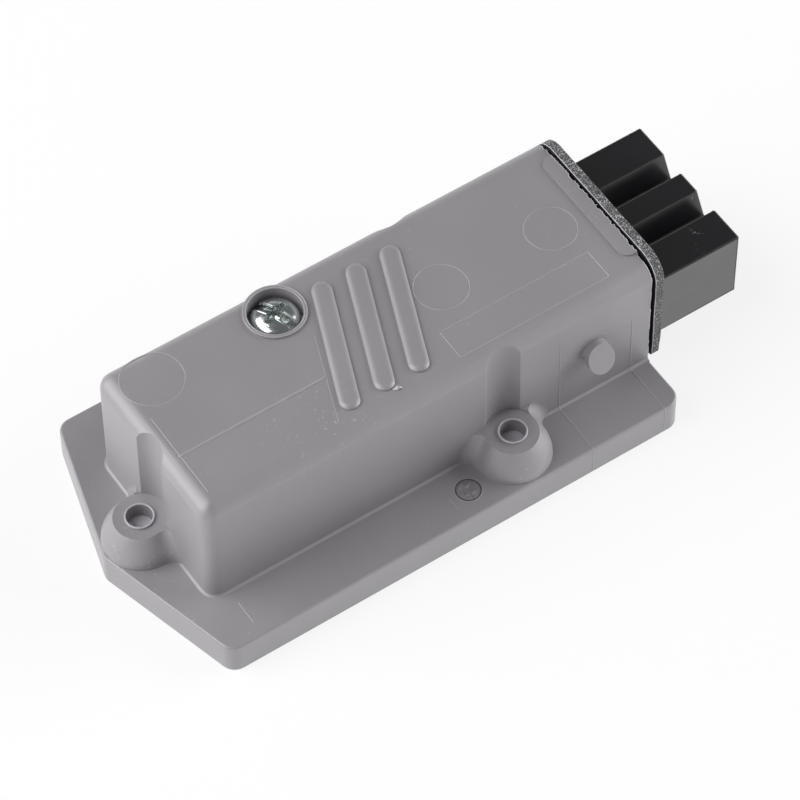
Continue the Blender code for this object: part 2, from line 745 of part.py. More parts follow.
def make_wire_guard(name, material, across, cage_centre, cage_front, thread_up):
    """A leaf between the terminal screw and the wire, hooked over the cage's back."""
    front = SOCKET_END - cage_front - CAGE_WALL - GAP
    back = SOCKET_END - cage_front - CAGE_LENGTH - GAP
    _, _, inner_low, inner_high = cage_levels(cage_centre, thread_up)
    side = 1 if thread_up else -1
    near = (inner_high if thread_up else inner_low) - side * GAP
    far = near - side * GUARD_THICKNESS
    tab = back - GUARD_THICKNESS
    raised = far + side * (GUARD_THICKNESS + GUARD_TAB)
    outline = [(front, near), (back, near), (back, raised), (tab, raised), (tab, far), (front, far)]
    half = CAGE_WIDTH / 2 - CAGE_WALL - GAP
    return finish(prism(outline, across - half, across + half, "Y"), name, material)


def make_terminal_screw(name, material, across, cage_centre, cage_front, thread_up):
    """A slotted terminal screw whose tip presses on the wire guard."""
    middle = SOCKET_END - cage_front - CAGE_LENGTH / 2
    low, high, inner_low, inner_high = cage_levels(cage_centre, thread_up)
    side = 1 if thread_up else -1
    seat = (high if thread_up else low) + side * GAP
    tip = inner_high if thread_up else inner_low
    top = seat + side * TERMINAL_HEAD_HEIGHT
    ease = TERMINAL_SLOT_DEPTH / 4
    head = TERMINAL_HEAD / 2
    profile = [(0.0, tip), (TERMINAL_SCREW / 2, tip), (TERMINAL_SCREW / 2, seat), (head, seat),
               (head, top - side * ease), (head - ease, top), (0.0, top)]
    screw = turned(profile, (middle, across))
    floor = top - side * TERMINAL_SLOT_DEPTH
    beyond = top + side * OVERRUN
    half = TERMINAL_SLOT / 2
    slot = box((middle - TERMINAL_HEAD, middle + TERMINAL_HEAD), (across - half, across + half),
               (min(floor, beyond), max(floor, beyond)))
    return finish(cut(screw, slot), name, material)


# Contact carrier

def cut_line_chamber(carrier, across):
    """Room for one line contact: channel, blade slot, cage chamber and screw well."""
    x = SOCKET_END
    rear = x - BLOCK_REAR - OVERRUN
    half = CHANNEL_HALF
    low = LINE_HEIGHT - LEAF_WIDTH / 2 - GAP
    high = LINE_HEIGHT + LEAF_WIDTH / 2 + SPRING_THICKNESS + 2 * GAP
    cage_half = CAGE_WIDTH / 2 + GAP
    cage_low = LINE_CAGE_CENTRE - CAGE_HEIGHT / 2 - GAP
    cage_high = LINE_CAGE_CENTRE + CAGE_HEIGHT / 2 + GAP
    slot = (LINE_HEIGHT - LEAF_WIDTH / 2, LINE_HEIGHT + LEAF_WIDTH / 2)
    middle = x - LINE_CAGE_FRONT - CAGE_LENGTH / 2
    cut(carrier,
        box((x - LINE_CAGE_FRONT, x + FACE_BACK), (across - half, across + half), (low, high)),
        box((x, x + CROWN_REACH + OVERRUN),
            (across - BLADE_SLOT / 2, across + BLADE_SLOT / 2), slot),
        box((rear, x - LINE_CAGE_FRONT + GAP), (across - cage_half, across + cage_half),
            (cage_low, cage_high)),
        rod((middle, across), TERMINAL_HEAD / 2 + GAP, LINE_CAGE_CENTRE, BLOCK_TOP + OVERRUN))


def cut_earth_chamber(carrier):
    """Room for the earth contact, whose blade lies flat and whose screw faces the panel."""
    x = SOCKET_END
    rear = x - BLOCK_REAR - OVERRUN
    half = CHANNEL_HALF
    near = LEAF_WIDTH / 2 + GAP
    far = LEAF_WIDTH / 2 + SPRING_THICKNESS + 2 * GAP
    cage_half = CAGE_WIDTH / 2 + GAP
    cage_low = EARTH_CAGE_CENTRE - CAGE_HEIGHT / 2 - GAP
    cage_high = EARTH_CAGE_CENTRE + CAGE_HEIGHT / 2 + GAP
    slot = (EARTH_HEIGHT - BLADE_SLOT / 2, EARTH_HEIGHT + BLADE_SLOT / 2)
    middle = x - EARTH_CAGE_FRONT - CAGE_LENGTH / 2
    cut(carrier,
        box((x - EARTH_CAGE_FRONT, x + FACE_BACK), (-near, far),
            (EARTH_HEIGHT - half, EARTH_HEIGHT + half)),
        box((x, x + CROWN_REACH + OVERRUN), (-LEAF_WIDTH / 2, LEAF_WIDTH / 2), slot),
        box((rear, x - EARTH_CAGE_FRONT + GAP), (-cage_half, cage_half), (cage_low, cage_high)),
        rod((middle, 0.0), TERMINAL_HEAD / 2 + GAP, BLOCK_BOTTOM - OVERRUN, EARTH_CAGE_CENTRE))


def guide_peg_places():
    """Across and height of the two pegs that locate the guide plate."""
    across = LINE_ACROSS / 2
    return [(-across, EARTH_HEIGHT), (across, EARTH_HEIGHT)]


def make_carrier(material):
    """The insert: crown, terminal block, and the tail that the roof screw holds."""
    x = SOCKET_END
    half = CARRIER_HALF
    crown_back = x - BLOCK_FRONT - CROWN_ROOT
    crown = prism(crown_outline(), crown_back, x + CROWN_REACH, "X")
    carrier = soften(crown, CROWN_EDGE)
    tail = (x - WELL_BACK, x - BLOCK_REAR + TAIL_ROOT)
    join(carrier,
         box((x - BLOCK_REAR, x - BLOCK_FRONT), (-half, half), (BLOCK_BOTTOM, BLOCK_TOP)),
         box(tail, (WELL_ACROSS - PILLAR_RADIUS, half - SLIGHT_STEP), (TAIL_BOTTOM, TAIL_TOP)),
         rod((x - WELL_BACK, WELL_ACROSS), PILLAR_RADIUS, TAIL_TOP - PILLAR_LENGTH,
             TAIL_TOP + SLIGHT_STEP))
    for across in LINE_PLACES:
        cut_line_chamber(carrier, across)
    cut_earth_chamber(carrier)
    cut(carrier, rod((x - WELL_BACK, WELL_ACROSS), SCREW_SHANK / 2 + GAP,
                     TAIL_TOP - PILLAR_LENGTH - OVERRUN, TAIL_TOP + OVERRUN))
    for centre in guide_peg_places():
        cut(carrier, rod(centre, GUIDE_PEG / 2 + GAP, x - BLOCK_REAR - OVERRUN,
                         x - BLOCK_REAR + GUIDE_PEG_LENGTH, "X", SMALL_ROUND))
    return finish(carrier, "contact_carrier", material)


def make_wire_guide_plate(material):
    """The plate behind the terminal block, with a hole for each wire."""
    front = SOCKET_END - BLOCK_REAR - GAP
    back = front - GUIDE_THICKNESS
    half = CARRIER_HALF - GUIDE_MARGIN
    plate = box((back, front), (-half, half), (BLOCK_BOTTOM + GUIDE_MARGIN, TAIL_BOTTOM - GAP))
    wires = [(across, LINE_CAGE_CENTRE - CAGE_WALL) for across in LINE_PLACES]
    wires.append((0.0, EARTH_CAGE_CENTRE + CAGE_WALL))
    cut(plate, *[rod(centre, WIRE_HOLE / 2, back - OVERRUN, front + OVERRUN, "X")
                 for centre in wires])
    join(plate, *[rod(centre, GUIDE_PEG / 2, front - GUIDE_THICKNESS / 2,
                      front + GUIDE_PEG_LENGTH, "X") for centre in guide_peg_places()])
    return finish(plate, "wire_guide_plate", material)


# Screw that holds the carrier

def make_cross_recess(centre, top):
    """A tapered cross with a tapered round core, which drives the screw."""
    bottom = top - RECESS_DEPTH
    above = top + OVERRUN
    wide = RECESS_SPAN / 2
    narrow = wide * RECESS_TAPER
    wing = RECESS_WING / 2
    wings = []
    for turned_wing in (False, True):
        loops = []
        for level, reach in ((bottom, narrow), (above, wide)):
            corners = [(-reach, -wing), (reach, -wing), (reach, wing), (-reach, wing)]
            if turned_wing:
                corners = [(-b, a) for a, b in corners]
            loops.append([(centre[0] + a * math.cos(RECESS_TURN) - b * math.sin(RECESS_TURN),
                           centre[1] + a * math.sin(RECESS_TURN) + b * math.cos(RECESS_TURN),
                           level) for a, b in corners])
        wings.append(loft(loops))
    core = turned([(0.0, bottom), (RECESS_CORE / 3, bottom), (RECESS_CORE / 2, above),
                   (0.0, above)], centre)
    return join(core, *wings)


def make_carrier_screw(material):
    """Pan head screw with a cross recess, from the well down into the carrier's pillar."""
    centre = (SOCKET_END - WELL_BACK, WELL_ACROSS)
    seat = WELL_FLOOR_TOP + GAP
    head = SCREW_HEAD / 2
    shank = SCREW_SHANK / 2
    tip = seat - SCREW_LENGTH
    dome = SCREW_HEAD_HEIGHT - SCREW_HEAD_SIDE
    profile = [(0.0, tip), (shank / 2, tip), (shank, tip + SCREW_TIP), (shank, seat), (head, seat)]
    for k in range(FILLET_STEPS):
        t = math.pi / 2 * k / FILLET_STEPS
        profile.append((head * math.cos(t), seat + SCREW_HEAD_SIDE + dome * math.sin(t)))
    profile.append((0.0, seat + SCREW_HEAD_HEIGHT))
    screw = turned(profile, centre, LARGE_ROUND)
    cut(screw, make_cross_recess(centre, seat + SCREW_HEAD_HEIGHT))
    return finish(screw, "carrier_screw", material)


def build():
    """Makes every piece at its place."""
    clear_scene()
    hood_grey = make_material("hood_grey", (0.287, 0.279, 0.300), 0.42)
    carrier_black = make_material("carrier_black", (0.013, 0.013, 0.014), 0.35)
    seal_black = make_material("seal_black", (0.022, 0.022, 0.023), 0.85)
    brass = make_material("brass", (0.72, 0.50, 0.20), 0.3, 1.0)
    spring_steel = make_material("spring_steel", (0.50, 0.50, 0.50), 0.3, 1.0)
    zinc_steel = make_material("zinc_steel", (0.70, 0.72, 0.73), 0.25, 1.0)

    make_housing(hood_grey)
    make_face_seal(seal_black)
    make_carrier(carrier_black)
    make_wire_guide_plate(carrier_black)
    make_carrier_screw(zinc_steel)

    line = (LINE_CAGE_CENTRE, LINE_CAGE_FRONT, True)
    for number, across in enumerate(LINE_PLACES, start=1):
        make_contact(f"line_contact_{number}", brass, across, LINE_HEIGHT, *line)
        make_contact_spring(f"line_contact_spring_{number}", spring_steel, across,
                            LINE_HEIGHT, False)
        make_wire_guard(f"line_wire_guard_{number}", spring_steel, across, *line)
        make_terminal_screw(f"line_terminal_screw_{number}", zinc_steel, across, *line)

    earth = (EARTH_CAGE_CENTRE, EARTH_CAGE_FRONT, False)
    make_contact("earth_contact", brass, 0.0, EARTH_HEIGHT, *earth)
    make_contact_spring("earth_contact_spring", spring_steel, 0.0, EARTH_HEIGHT, True)
    make_wire_guard("earth_wire_guard", spring_steel, 0.0, *earth)
    make_terminal_screw("earth_terminal_screw", zinc_steel, 0.0, *earth)


build()
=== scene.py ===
"""Looks of a panel mount connector: grey moulded hood, black insert, rubber seal and screw.

Metres, +Z up. X runs from the wiring end to the socket end, and Y runs across.
Places on the housing are given as millimetres back from the socket end, across, and up.
"""

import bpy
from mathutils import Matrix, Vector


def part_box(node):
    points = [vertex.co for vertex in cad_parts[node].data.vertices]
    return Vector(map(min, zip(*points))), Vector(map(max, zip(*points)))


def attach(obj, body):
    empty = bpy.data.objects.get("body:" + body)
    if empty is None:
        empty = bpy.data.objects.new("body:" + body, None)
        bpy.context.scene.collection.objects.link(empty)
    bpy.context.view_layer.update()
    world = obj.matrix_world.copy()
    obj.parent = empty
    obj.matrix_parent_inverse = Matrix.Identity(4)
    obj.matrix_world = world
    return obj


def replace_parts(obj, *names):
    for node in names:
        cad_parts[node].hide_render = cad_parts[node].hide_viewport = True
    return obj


bl_info = {
    "name": "Panel mount connector looks",
    "version": (1, 0, 0),
    "blender": (4, 5, 0),
    "location": "3D View > Sidebar > Connector",
    "description": "Adds the finish, mould marks, seal, screw and studio of a connector",
    "category": "Object",
}

import math

import bmesh
import bpy
import numpy as np
from bpy.props import FloatProperty, FloatVectorProperty, IntProperty, PointerProperty
from mathutils import Matrix

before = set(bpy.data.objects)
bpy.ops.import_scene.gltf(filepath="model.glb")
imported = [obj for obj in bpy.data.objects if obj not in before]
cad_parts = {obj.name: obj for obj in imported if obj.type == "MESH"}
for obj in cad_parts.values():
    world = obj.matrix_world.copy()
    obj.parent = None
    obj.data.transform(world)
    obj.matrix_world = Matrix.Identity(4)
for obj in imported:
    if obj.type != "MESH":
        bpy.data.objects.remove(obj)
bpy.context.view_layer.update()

MM = 0.001
BODY = "root"
UP = np.array([0.0, 0.0, 1.0])

# Places read from the frame
_, HOUSING_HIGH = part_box("housing")
SEAL_LOW, SEAL_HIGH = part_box("face_seal")
_, CARRIER_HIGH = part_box("contact_carrier")
SCREW_LOW, SCREW_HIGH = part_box("carrier_screw")
SCREW_MIDDLE = (SCREW_LOW + SCREW_HIGH) / 2
SOCKET_END = HOUSING_HIGH.x
PLATE_HALF = HOUSING_HIGH.y

# Heights and widths of the housing's faces
ROOF_TOP = 30.05 * MM
LIP_TOP = 30.45 * MM
PLATE_TOP = 6.3 * MM
PLATE_EDGE = 0.4 * MM
HOOD_HALF = 16.96 * MM
HOOD_DRAFT = math.tan(math.radians(0.35))
HOOD_FOOT = 0.6 * MM
ROOF_FILLET = 2.8 * MM
BOSS_WEB_TOP = 9.3 * MM
HOLE_RIM_TOP = 12.35 * MM
HOLE_RADIUS = 2.2 * MM
WELL_RADIUS = 4.7 * MM
WELL_RIM = 0.68 * MM
WELL_RIM_TOP = 30.45 * MM
HEAD_HEIGHT = 3.1 * MM

# Marks on the housing, as millimetres back and across, then a size or a weight
BOSS_HOLES = ((89.2, 0.0), (29.6, -19.96), (29.6, 19.96))
EJECTOR_RINGS = ((79.03, 10.67, 10.7), (30.28, -0.04, 9.3), (8.62, -0.15, 9.0))
LABEL_FRAME = ((35.6, -13.55), (6.3, -13.55), (6.3, -7.53), (35.6, -7.53))
RULES = (((83.3, 4.1), (83.3, -13.0), 1.0), ((83.2, -4.68), (55.95, -4.68), 2.4),
         ((52.76, 3.13), (58.93, -13.37), 0.8))
DOTS = ((48.07, -6.77, 0.55), (83.3, -4.68, 0.7), (47.5, -12.9, 0.8))
DATE_DISC = (39.91, -22.2, 2.0 * MM)
BURR = (47.5, -13.04)
# Parting lines as back and top, and witness lines as back, near end and far end
PARTING_LINES = ((3.64, 20.0), (18.16, 24.5))
WITNESS_LINES = ((83.0, 19.6, 24.3), (43.53, 21.8, 24.9))
# How deep a mark's foot goes into the face that it lies on
SUNK = 0.06 * MM

# Worn patches as back, across, up and radius in millimetres, then speck scale and share
HOUSING_WEAR = ((62.0, -12.0, 30.0, 13.0, 1500.0, 0.45), (92.0, -6.0, 9.0, 9.0, 1700.0, 0.4),
                (2.0, 0.0, 30.2, 15.0, 1500.0, 0.14))
INSERT_WEAR = ((-14.4, -9.2, 22.1, 1.9, 1900.0, 1.0), (-12.3, -12.5, 22.1, 2.0, 1900.0, 1.0),
               (-19.6, -3.2, 22.0, 1.7, 1500.0, 1.0))
GRAIN_SCALE = 2600.0
RIPPLE_SCALE = 120.0

# Turns between faces: what is flat, what is shaded as one, and what counts as an edge
FLAT_TURN = math.radians(0.5)
SOFT_TURN = math.radians(33)
EDGE_TURN = math.radians(35)

# Crown of the insert, and the window that the seal leaves round it
CROWN_TOP = 22.12 * MM
CROWN_BOTTOM = 7.62 * MM
GAP = 0.3 * MM

# Camera, as measured from the photograph
CAMERA_BACK = 270.363 * MM
CAMERA_ACROSS = -357.653 * MM
CAMERA_UP = 597.079 * MM
CAMERA_AZIMUTH = math.radians(32.945)
CAMERA_ELEVATION = math.radians(54.253)
CAMERA_ROLL = math.radians(-0.941)
CAMERA_FOCAL_PIXELS = 4370.87
PICTURE_PIXELS = 800
SENSOR = 36.0

# Lamps as name, place and width in metres, and the point that they face
LAMPS = (("lamp_left", (-0.84, 0.36, 0.72), 1.3), ("lamp_right", (1.06, -0.38, 0.46), 1.0))
LAMP_TARGET = (0.0, 0.0, 0.015)


def place(back, across, up):
    """A point of the housing from millimetres back from the socket end, across and up."""
    return np.array([SOCKET_END - back * MM, across * MM, up * MM])


# Meshes

def surface(points, wrap_rows=False):
    """A grid of points as a list, and the quads that join each to its neighbours.

    Columns close in a ring, and rows too if they are wrapped.
    """
    rows, columns = points.shape[:2]
    r = np.arange(rows if wrap_rows else rows - 1)[:, None]
    c = np.arange(columns)[None, :]
    below, beside = (r + 1) % rows, (c + 1) % columns
    corners = [r * columns + c, below * columns + c, below * columns + beside,
               r * columns + beside]
    return points.reshape(-1, 3), np.stack(corners, axis=-1).reshape(-1, 4)


def with_ends(points, tips=None):
    """Rows of points, and at each end one more row drawn together in a tip or in its middle."""
    tips = tips or (points[0].mean(axis=0), points[-1].mean(axis=0))
    first, last = (np.broadcast_to(tip, (1, *points.shape[1:])) for tip in tips)
    return np.concatenate([first, points, last])


def joined(parts):
    """Several surfaces as one pair of points and quads."""
    points, faces = zip(*parts)
    starts = np.cumsum([0] + [len(part) for part in points[:-1]])
    return np.concatenate(points), np.concatenate([f + s for f, s in zip(faces, starts)])


def show(name, mesh):
    """Puts a mesh into the scene as a piece of the part's body."""
    piece = bpy.data.objects.new(name, mesh)
    bpy.context.scene.collection.objects.link(piece)
    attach(piece, BODY)
    return piece


def add_piece(name, points, faces, finishes, slot="hood_grey", sharp=40.0, marks=None):
    """Makes one closed, outward piece of points and quads.

    Marks give each face's number in the list of finishes.
    """
    mesh = bpy.data.meshes.new(name)
    mesh.from_pydata(points.tolist(), [], faces.tolist())
    for finish in finishes:
        mesh.materials.append(finish)
    if marks is not None:
        mesh.polygons.foreach_set("material_index", np.asarray(marks, np.int32))
    bm = bmesh.new()
    bm.from_mesh(mesh)
    bmesh.ops.remove_doubles(bm, verts=bm.verts, dist=MM * 0.0005)
    bmesh.ops.dissolve_degenerate(bm, edges=bm.edges, dist=MM * 0.0001)
    bmesh.ops.recalc_face_normals(bm, faces=bm.faces)
    bm.to_mesh(mesh)
    bm.free()
    mesh.shade_smooth()
    mesh.set_sharp_from_angle(angle=math.radians(sharp))
    return show(name, mesh)


def around(count):
    """Angles spaced evenly round a circle."""
    return np.linspace(0.0, 2 * np.pi, count, endpoint=False)


def bead(path, width, height, closed=False, up=UP, sunk=SUNK):
    """A low rounded ridge laid along a path on a surface.

    Each section is half an ellipse, width across and height up, on a foot sunk into the surface.
    An open bead's ends shrink to a point. Width and height may be arrays, one value a point.
    """
    count = len(path)
    up = np.broadcast_to(up, path.shape)
    width = np.broadcast_to(width, count)[:, None, None]
    height = np.broadcast_to(height, count)[:, None, None]
    if closed:
        along = np.roll(path, -1, axis=0) - np.roll(path, 1, axis=0)
    else:
        along = np.gradient(path, axis=0)
    side = np.cross(along, up)
    side /= np.linalg.norm(side, axis=1, keepdims=True)
    t = np.linspace(0.0, np.pi, 7)[None, :, None]
    dome = side[:, None] * width / 2 * np.cos(t) + up[:, None] * height * np.sin(t)
    foot = [side * s * width[:, 0] / 2 - up * sunk for s in (-1.0, 1.0)]
    points = path[:, None] + np.concatenate([dome, np.stack(foot, axis=1)], axis=1)
    if closed:
        return surface(points, True)
    return surface(with_ends(points, (path[0], path[-1])))


def straight(start, end, count):
    """Evenly spaced points from one place to another."""
    t = np.linspace(0.0, 1.0, count)[:, None]
    return start * (1 - t) + end * t


def turned(radius, t, height, centre=(0.0, 0.0)):
    """Points about an upright axis: radius times the angle's cosine and sine, and a height."""
    rows = np.broadcast_arrays(centre[0] + radius * np.cos(t), centre[1] + radius * np.sin(t),
                               height)
    return np.stack(rows, axis=-1)


def ring(centre, radius, count=96):
    """Points round a level circle."""
    return turned(radius, around(count), centre[2], centre)


def smooth_noise(count, seed, spacing, closed=False):
    """Seeded random values, one for every few points, eased from each to the next."""
    rng = np.random.default_rng(seed)
    knots = max(int(count / spacing), 2)
    values = rng.uniform(-1.0, 1.0, knots + 1)
    if closed:
        values[-1] = values[0]
    at = np.linspace(0.0, knots, count)
    low = np.minimum(at.astype(int), knots - 1)
    share = smooth_step(at - low, 0.0, 1.0)
    return values[low] * (1 - share) + values[low + 1] * share


def smooth_step(value, low, high):
    """0 below low, 1 above high, eased between."""
    t = np.clip((value - low) / (high - low), 0.0, 1.0)
    return t * t * (3 - 2 * t)


def ragged(count, seed, fine, coarse):
    """Torn outline from 0 to 1: eased waves, sharp fine teeth and a few deep bites."""
    waves = 0.5 + 0.5 * smooth_noise(count, seed, coarse)
    teeth = np.abs(smooth_noise(count, seed + 1, fine))
    bites = smooth_step(smooth_noise(count, seed + 2, coarse * 1.3), 0.35, 0.6)
    return np.clip(0.1 + 0.6 * waves + 0.5 * teeth, 0.0, 1.2) / 1.2 * (1.0 - 0.9 * bites)


def even_normals(mesh, limit):
    """Shades each face evenly with the faces at its corners that turn by less than the limit.

    A corner's normal is the sum of those faces' normals, each times its area. Every edge is
    marked sharp first, so that each corner keeps its own.
    """
    vertex = np.empty(len(mesh.loops), np.int32)
    sides, area = np.empty(len(mesh.polygons), np.int32), np.empty(len(mesh.polygons))
    normal = np.empty(len(mesh.polygons) * 3)
    mesh.loops.foreach_get("vertex_index", vertex)
    mesh.polygons.foreach_get("loop_total", sides)
    mesh.polygons.foreach_get("area", area)
    mesh.polygons.foreach_get("normal", normal)
    face = np.repeat(np.arange(len(sides)), sides)
    normal, area = normal.reshape(-1, 3)[face], area[face]
    # Each corner is paired with every corner that meets at its vertex, itself included
    met = np.bincount(vertex)
    first = np.cumsum(met) - met
    pairs = met[vertex]
    own = np.repeat(np.arange(len(vertex)), pairs)
    turn = np.arange(len(own)) - np.repeat(np.cumsum(pairs) - pairs, pairs)
    other = np.argsort(vertex, kind="stable")[first[vertex[own]] + turn]
    near = (normal[own] * normal[other]).sum(axis=1) > math.cos(limit)
    # A thousandth of the corner's own face keeps a sum from vanishing
    total = normal * area[:, None] * 1e-3
    np.add.at(total, own[near], normal[other[near]] * area[other[near], None])
    length = np.linalg.norm(total, axis=1, keepdims=True)
    mesh.shade_smooth()
    mesh.set_sharp_from_angle(angle=0.0)
    mesh.normals_split_custom_set(np.where(length > 0, total / np.maximum(length, 1e-30), 0.0))


def smooth_copy(node, name, finishes, rounding=None):
    """A merged copy of a CAD node that stands for it, evenly shaded.

    With a rounding, the sharp edges that reach beyond the socket end are rounded over and
    get the second finish, a paler tone that paints a highlight along them, with some wear.
    """
    bm = bmesh.new()
    bm.from_mesh(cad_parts[node].data)
    bmesh.ops.remove_doubles(bm, verts=bm.verts, dist=MM * 0.002)
    bmesh.ops.dissolve_limit(bm, angle_limit=FLAT_TURN, verts=bm.verts, edges=bm.edges)
    for face in bm.faces:
        face.material_index = 0
    if rounding:
        ahead = [edge for edge in bm.edges if max(vert.co.x for vert in edge.verts) > SOCKET_END
                 and edge.calc_face_angle(0.0) > EDGE_TURN]
        bmesh.ops.bevel(bm, geom=ahead, offset=rounding, segments=2, profile=0.5,
                        affect="EDGES", clamp_overlap=False, material=1)
        bmesh.ops.dissolve_degenerate(bm, edges=bm.edges, dist=MM * 0.001)
    mesh = bpy.data.meshes.new(name)
    bm.to_mesh(mesh)
    bm.free()
    mesh.materials.clear()
    for finish in finishes:
        mesh.materials.append(finish)
    even_normals(mesh, SOFT_TURN)
    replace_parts(show(name, mesh), node)


def dress(node, finish):
    """Gives a CAD node one finish."""
    node.data.materials.clear()
    node.data.materials.append(finish)


# Material building

def feed(tree, socket, value):
    """Links a socket or sets a value."""
    if isinstance(value, bpy.types.NodeSocket):
        tree.links.new(value, socket)
    else:
        socket.default_value = value


def new_node(tree, kind, values, **settings):
    """A node with its settings and its inputs, each a socket or a value."""
    node = tree.nodes.new(kind)
    for key, value in settings.items():
        setattr(node, key, value)
    for key, value in values.items():
        feed(tree, node.inputs[key], value)
    return node


def new_group(name, vectors, floats, outputs):
    """An empty node group with its inputs and outputs by name."""
    group = bpy.data.node_groups.new(name, "ShaderNodeTree")
    for labels, way, kind in ((vectors, "INPUT", "Vector"), (floats, "INPUT", "Float"),
                              (outputs, "OUTPUT", "Float")):
        for label in labels:
            group.interface.new_socket(label, in_out=way, socket_type="NodeSocket" + kind)
    return (group, group.nodes.new("NodeGroupInput").outputs,
            group.nodes.new("NodeGroupOutput").inputs)


def noise(tree, vector, scale, detail=2.0, roughness=0.5):
    """A noise texture on a vector."""
    return new_node(tree, "ShaderNodeTexNoise", {"Vector": vector, "Scale": scale,
                    "Detail": detail, "Roughness": roughness}).outputs["Fac"]


def remap(tree, value, low, high, to_low=0.0, to_high=1.0):
    """Spreads a range of values over another range, clamped at both ends."""
    values = dict(enumerate((value, low, high, to_low, to_high)))
    return new_node(tree, "ShaderNodeMapRange", values, clamp=True,
                    interpolation_type="SMOOTHSTEP").outputs["Result"]


def maths(tree, operation, a, b):
    """One sum on two sockets or numbers."""
    return new_node(tree, "ShaderNodeMath", {0: a, 1: b}, operation=operation).outputs[0]


def blend(tree, share, first, second):
    """A colour between two, of which the first may be a socket."""
    if not isinstance(first, bpy.types.NodeSocket):
        first = (*first, 1.0)
    return new_node(tree, "ShaderNodeMix", {0: share, 6: first, 7: (*second, 1.0)},
                    data_type="RGBA").outputs[2]


def bump(tree, height, strength, distance, below=None):
    """A bump node, laid over another one if given."""
    values = {"Height": height, "Strength": strength, "Distance": distance}
    if below is not None:
        values["Normal"] = below
    return new_node(tree, "ShaderNodeBump", values).outputs["Normal"]


def mould_surface_group():
    """Skin of a moulding: fine grain and slow ripple as height, tone drift, pale specks."""
    group, entry, leave = new_group(
        "mould_surface", ("Vector",),
        ("Grain Scale", "Ripple Scale", "Speck Scale", "Speck Size"),
        ("Grain", "Ripple", "Drift", "Specks"))
    vector, size = entry["Vector"], entry["Speck Size"]
    drift = noise(group, vector, maths(group, "MULTIPLY", entry["Ripple Scale"], 0.45), 3.0)
    dots = new_node(group, "ShaderNodeTexVoronoi",
                    {"Vector": vector, "Scale": entry["Speck Scale"]}, feature="F1")
    close = remap(group, dots.outputs["Distance"], size, maths(group, "MULTIPLY", size, 0.4))
    patches = remap(group, noise(group, vector, 210.0), 0.60, 0.72)
    feed(group, leave["Grain"], noise(group, vector, entry["Grain Scale"], 3.0, 0.6))
    feed(group, leave["Ripple"], noise(group, vector, entry["Ripple Scale"], 1.0, 0.4))
    feed(group, leave["Drift"], remap(group, drift, 0.3, 0.7))
    feed(group, leave["Specks"], maths(group, "MULTIPLY", close, patches))
    return group


def scuff_group():
    """Where a worn patch shows pale specks: near its centre, in fine broken dots."""
    group, entry, leave = new_group("scuff_patch", ("Vector", "Centre"),
                                    ("Radius", "Scale", "Share"), ("Mask",))
    vector = entry["Vector"]
    away = new_node(group, "ShaderNodeVectorMath", {0: vector, 1: entry["Centre"]},
                    operation="DISTANCE").outputs["Value"]
    near = maths(group, "SUBTRACT", 1.0, maths(group, "DIVIDE", away, entry["Radius"]))
    dots = remap(group, noise(group, vector, entry["Scale"], 2.0, 0.6), 0.60, 0.70)
    spread = remap(group, noise(group, vector, 330.0), 0.38, 0.62)
    patch = maths(group, "MULTIPLY", remap(group, near, 0.0, 0.7), spread)
    feed(group, leave["Mask"], maths(group, "MULTIPLY", maths(group, "MULTIPLY", dots, patch),
                                     entry["Share"]))
    return group


def new_material(name, roughness, metallic=0.0):
    """A material with its shader, its tree and object coordinates."""
    material = bpy.data.materials.new(name)
    material.use_nodes = True
    tree = material.node_tree
    shader = tree.nodes["Principled BSDF"].inputs
    shader["Roughness"].default_value = roughness
    shader["Metallic"].default_value = metallic
    return material, tree, shader, tree.nodes.new("ShaderNodeTexCoord").outputs["Object"]


def moulded_plastic(name, colour, pale, roughness, grain, ripple, specks=(700.0, 0.12, 0.6),
                    skin=(0.0, 1.5, 0.3), wear=()):
    """Satin moulded plastic: fine grain, slow ripples, slight tone drift, few pale specks.

    Specks are their scale, size and share. The skin is the closed, glossier outer layer: its
    weight, index and roughness.
    """
    material, tree, shader, vector = new_material(name, roughness)
    for label, value in zip(("Coat Weight", "Coat IOR", "Coat Roughness"), skin):
        shader[label].default_value = value
    groups = bpy.data.node_groups
    mould = new_node(tree, "ShaderNodeGroup",
                     {"Vector": vector, "Grain Scale": GRAIN_SCALE,
                      "Ripple Scale": RIPPLE_SCALE, "Speck Scale": specks[0],
                      "Speck Size": specks[1]},
                     node_tree=groups.get("mould_surface") or mould_surface_group()).outputs
    tone = blend(tree, mould["Drift"], [c * 0.965 for c in colour], [c * 1.035 for c in colour])
    shown = maths(tree, "MULTIPLY", mould["Specks"], specks[2])
    for back, across, up, radius, scale, share in wear:
        wear_and_painted_light = new_node(tree, "ShaderNodeGroup",
                        {"Vector": vector, "Centre": place(back, across, up),
                         "Radius": radius * MM, "Scale": scale, "Share": share},
                        node_tree=groups.get("scuff_patch") or scuff_group())
        shown = maths(tree, "MAXIMUM", shown, wear_and_painted_light.outputs["Mask"])
    feed(tree, shader["Base Color"], blend(tree, shown, tone, pale))
    feed(tree, shader["Roughness"],
         remap(tree, mould["Drift"], 0.0, 1.0, roughness - 0.03, roughness + 0.04))
    slow = bump(tree, mould["Ripple"], ripple, 0.0006)
    feed(tree, shader["Normal"], bump(tree, mould["Grain"], grain, 0.00006, slow))
    return material


def grey_plastic(look, name, times, pale, grain, ripple, wear=()):
    """The housing's plastic with its skin, paler or darker by a factor."""
    return moulded_plastic(name, [c * times for c in look.colour], pale, look.roughness, grain,
                           ripple, skin=(look.skin, look.skin_index, look.skin_roughness),
                           wear=wear)


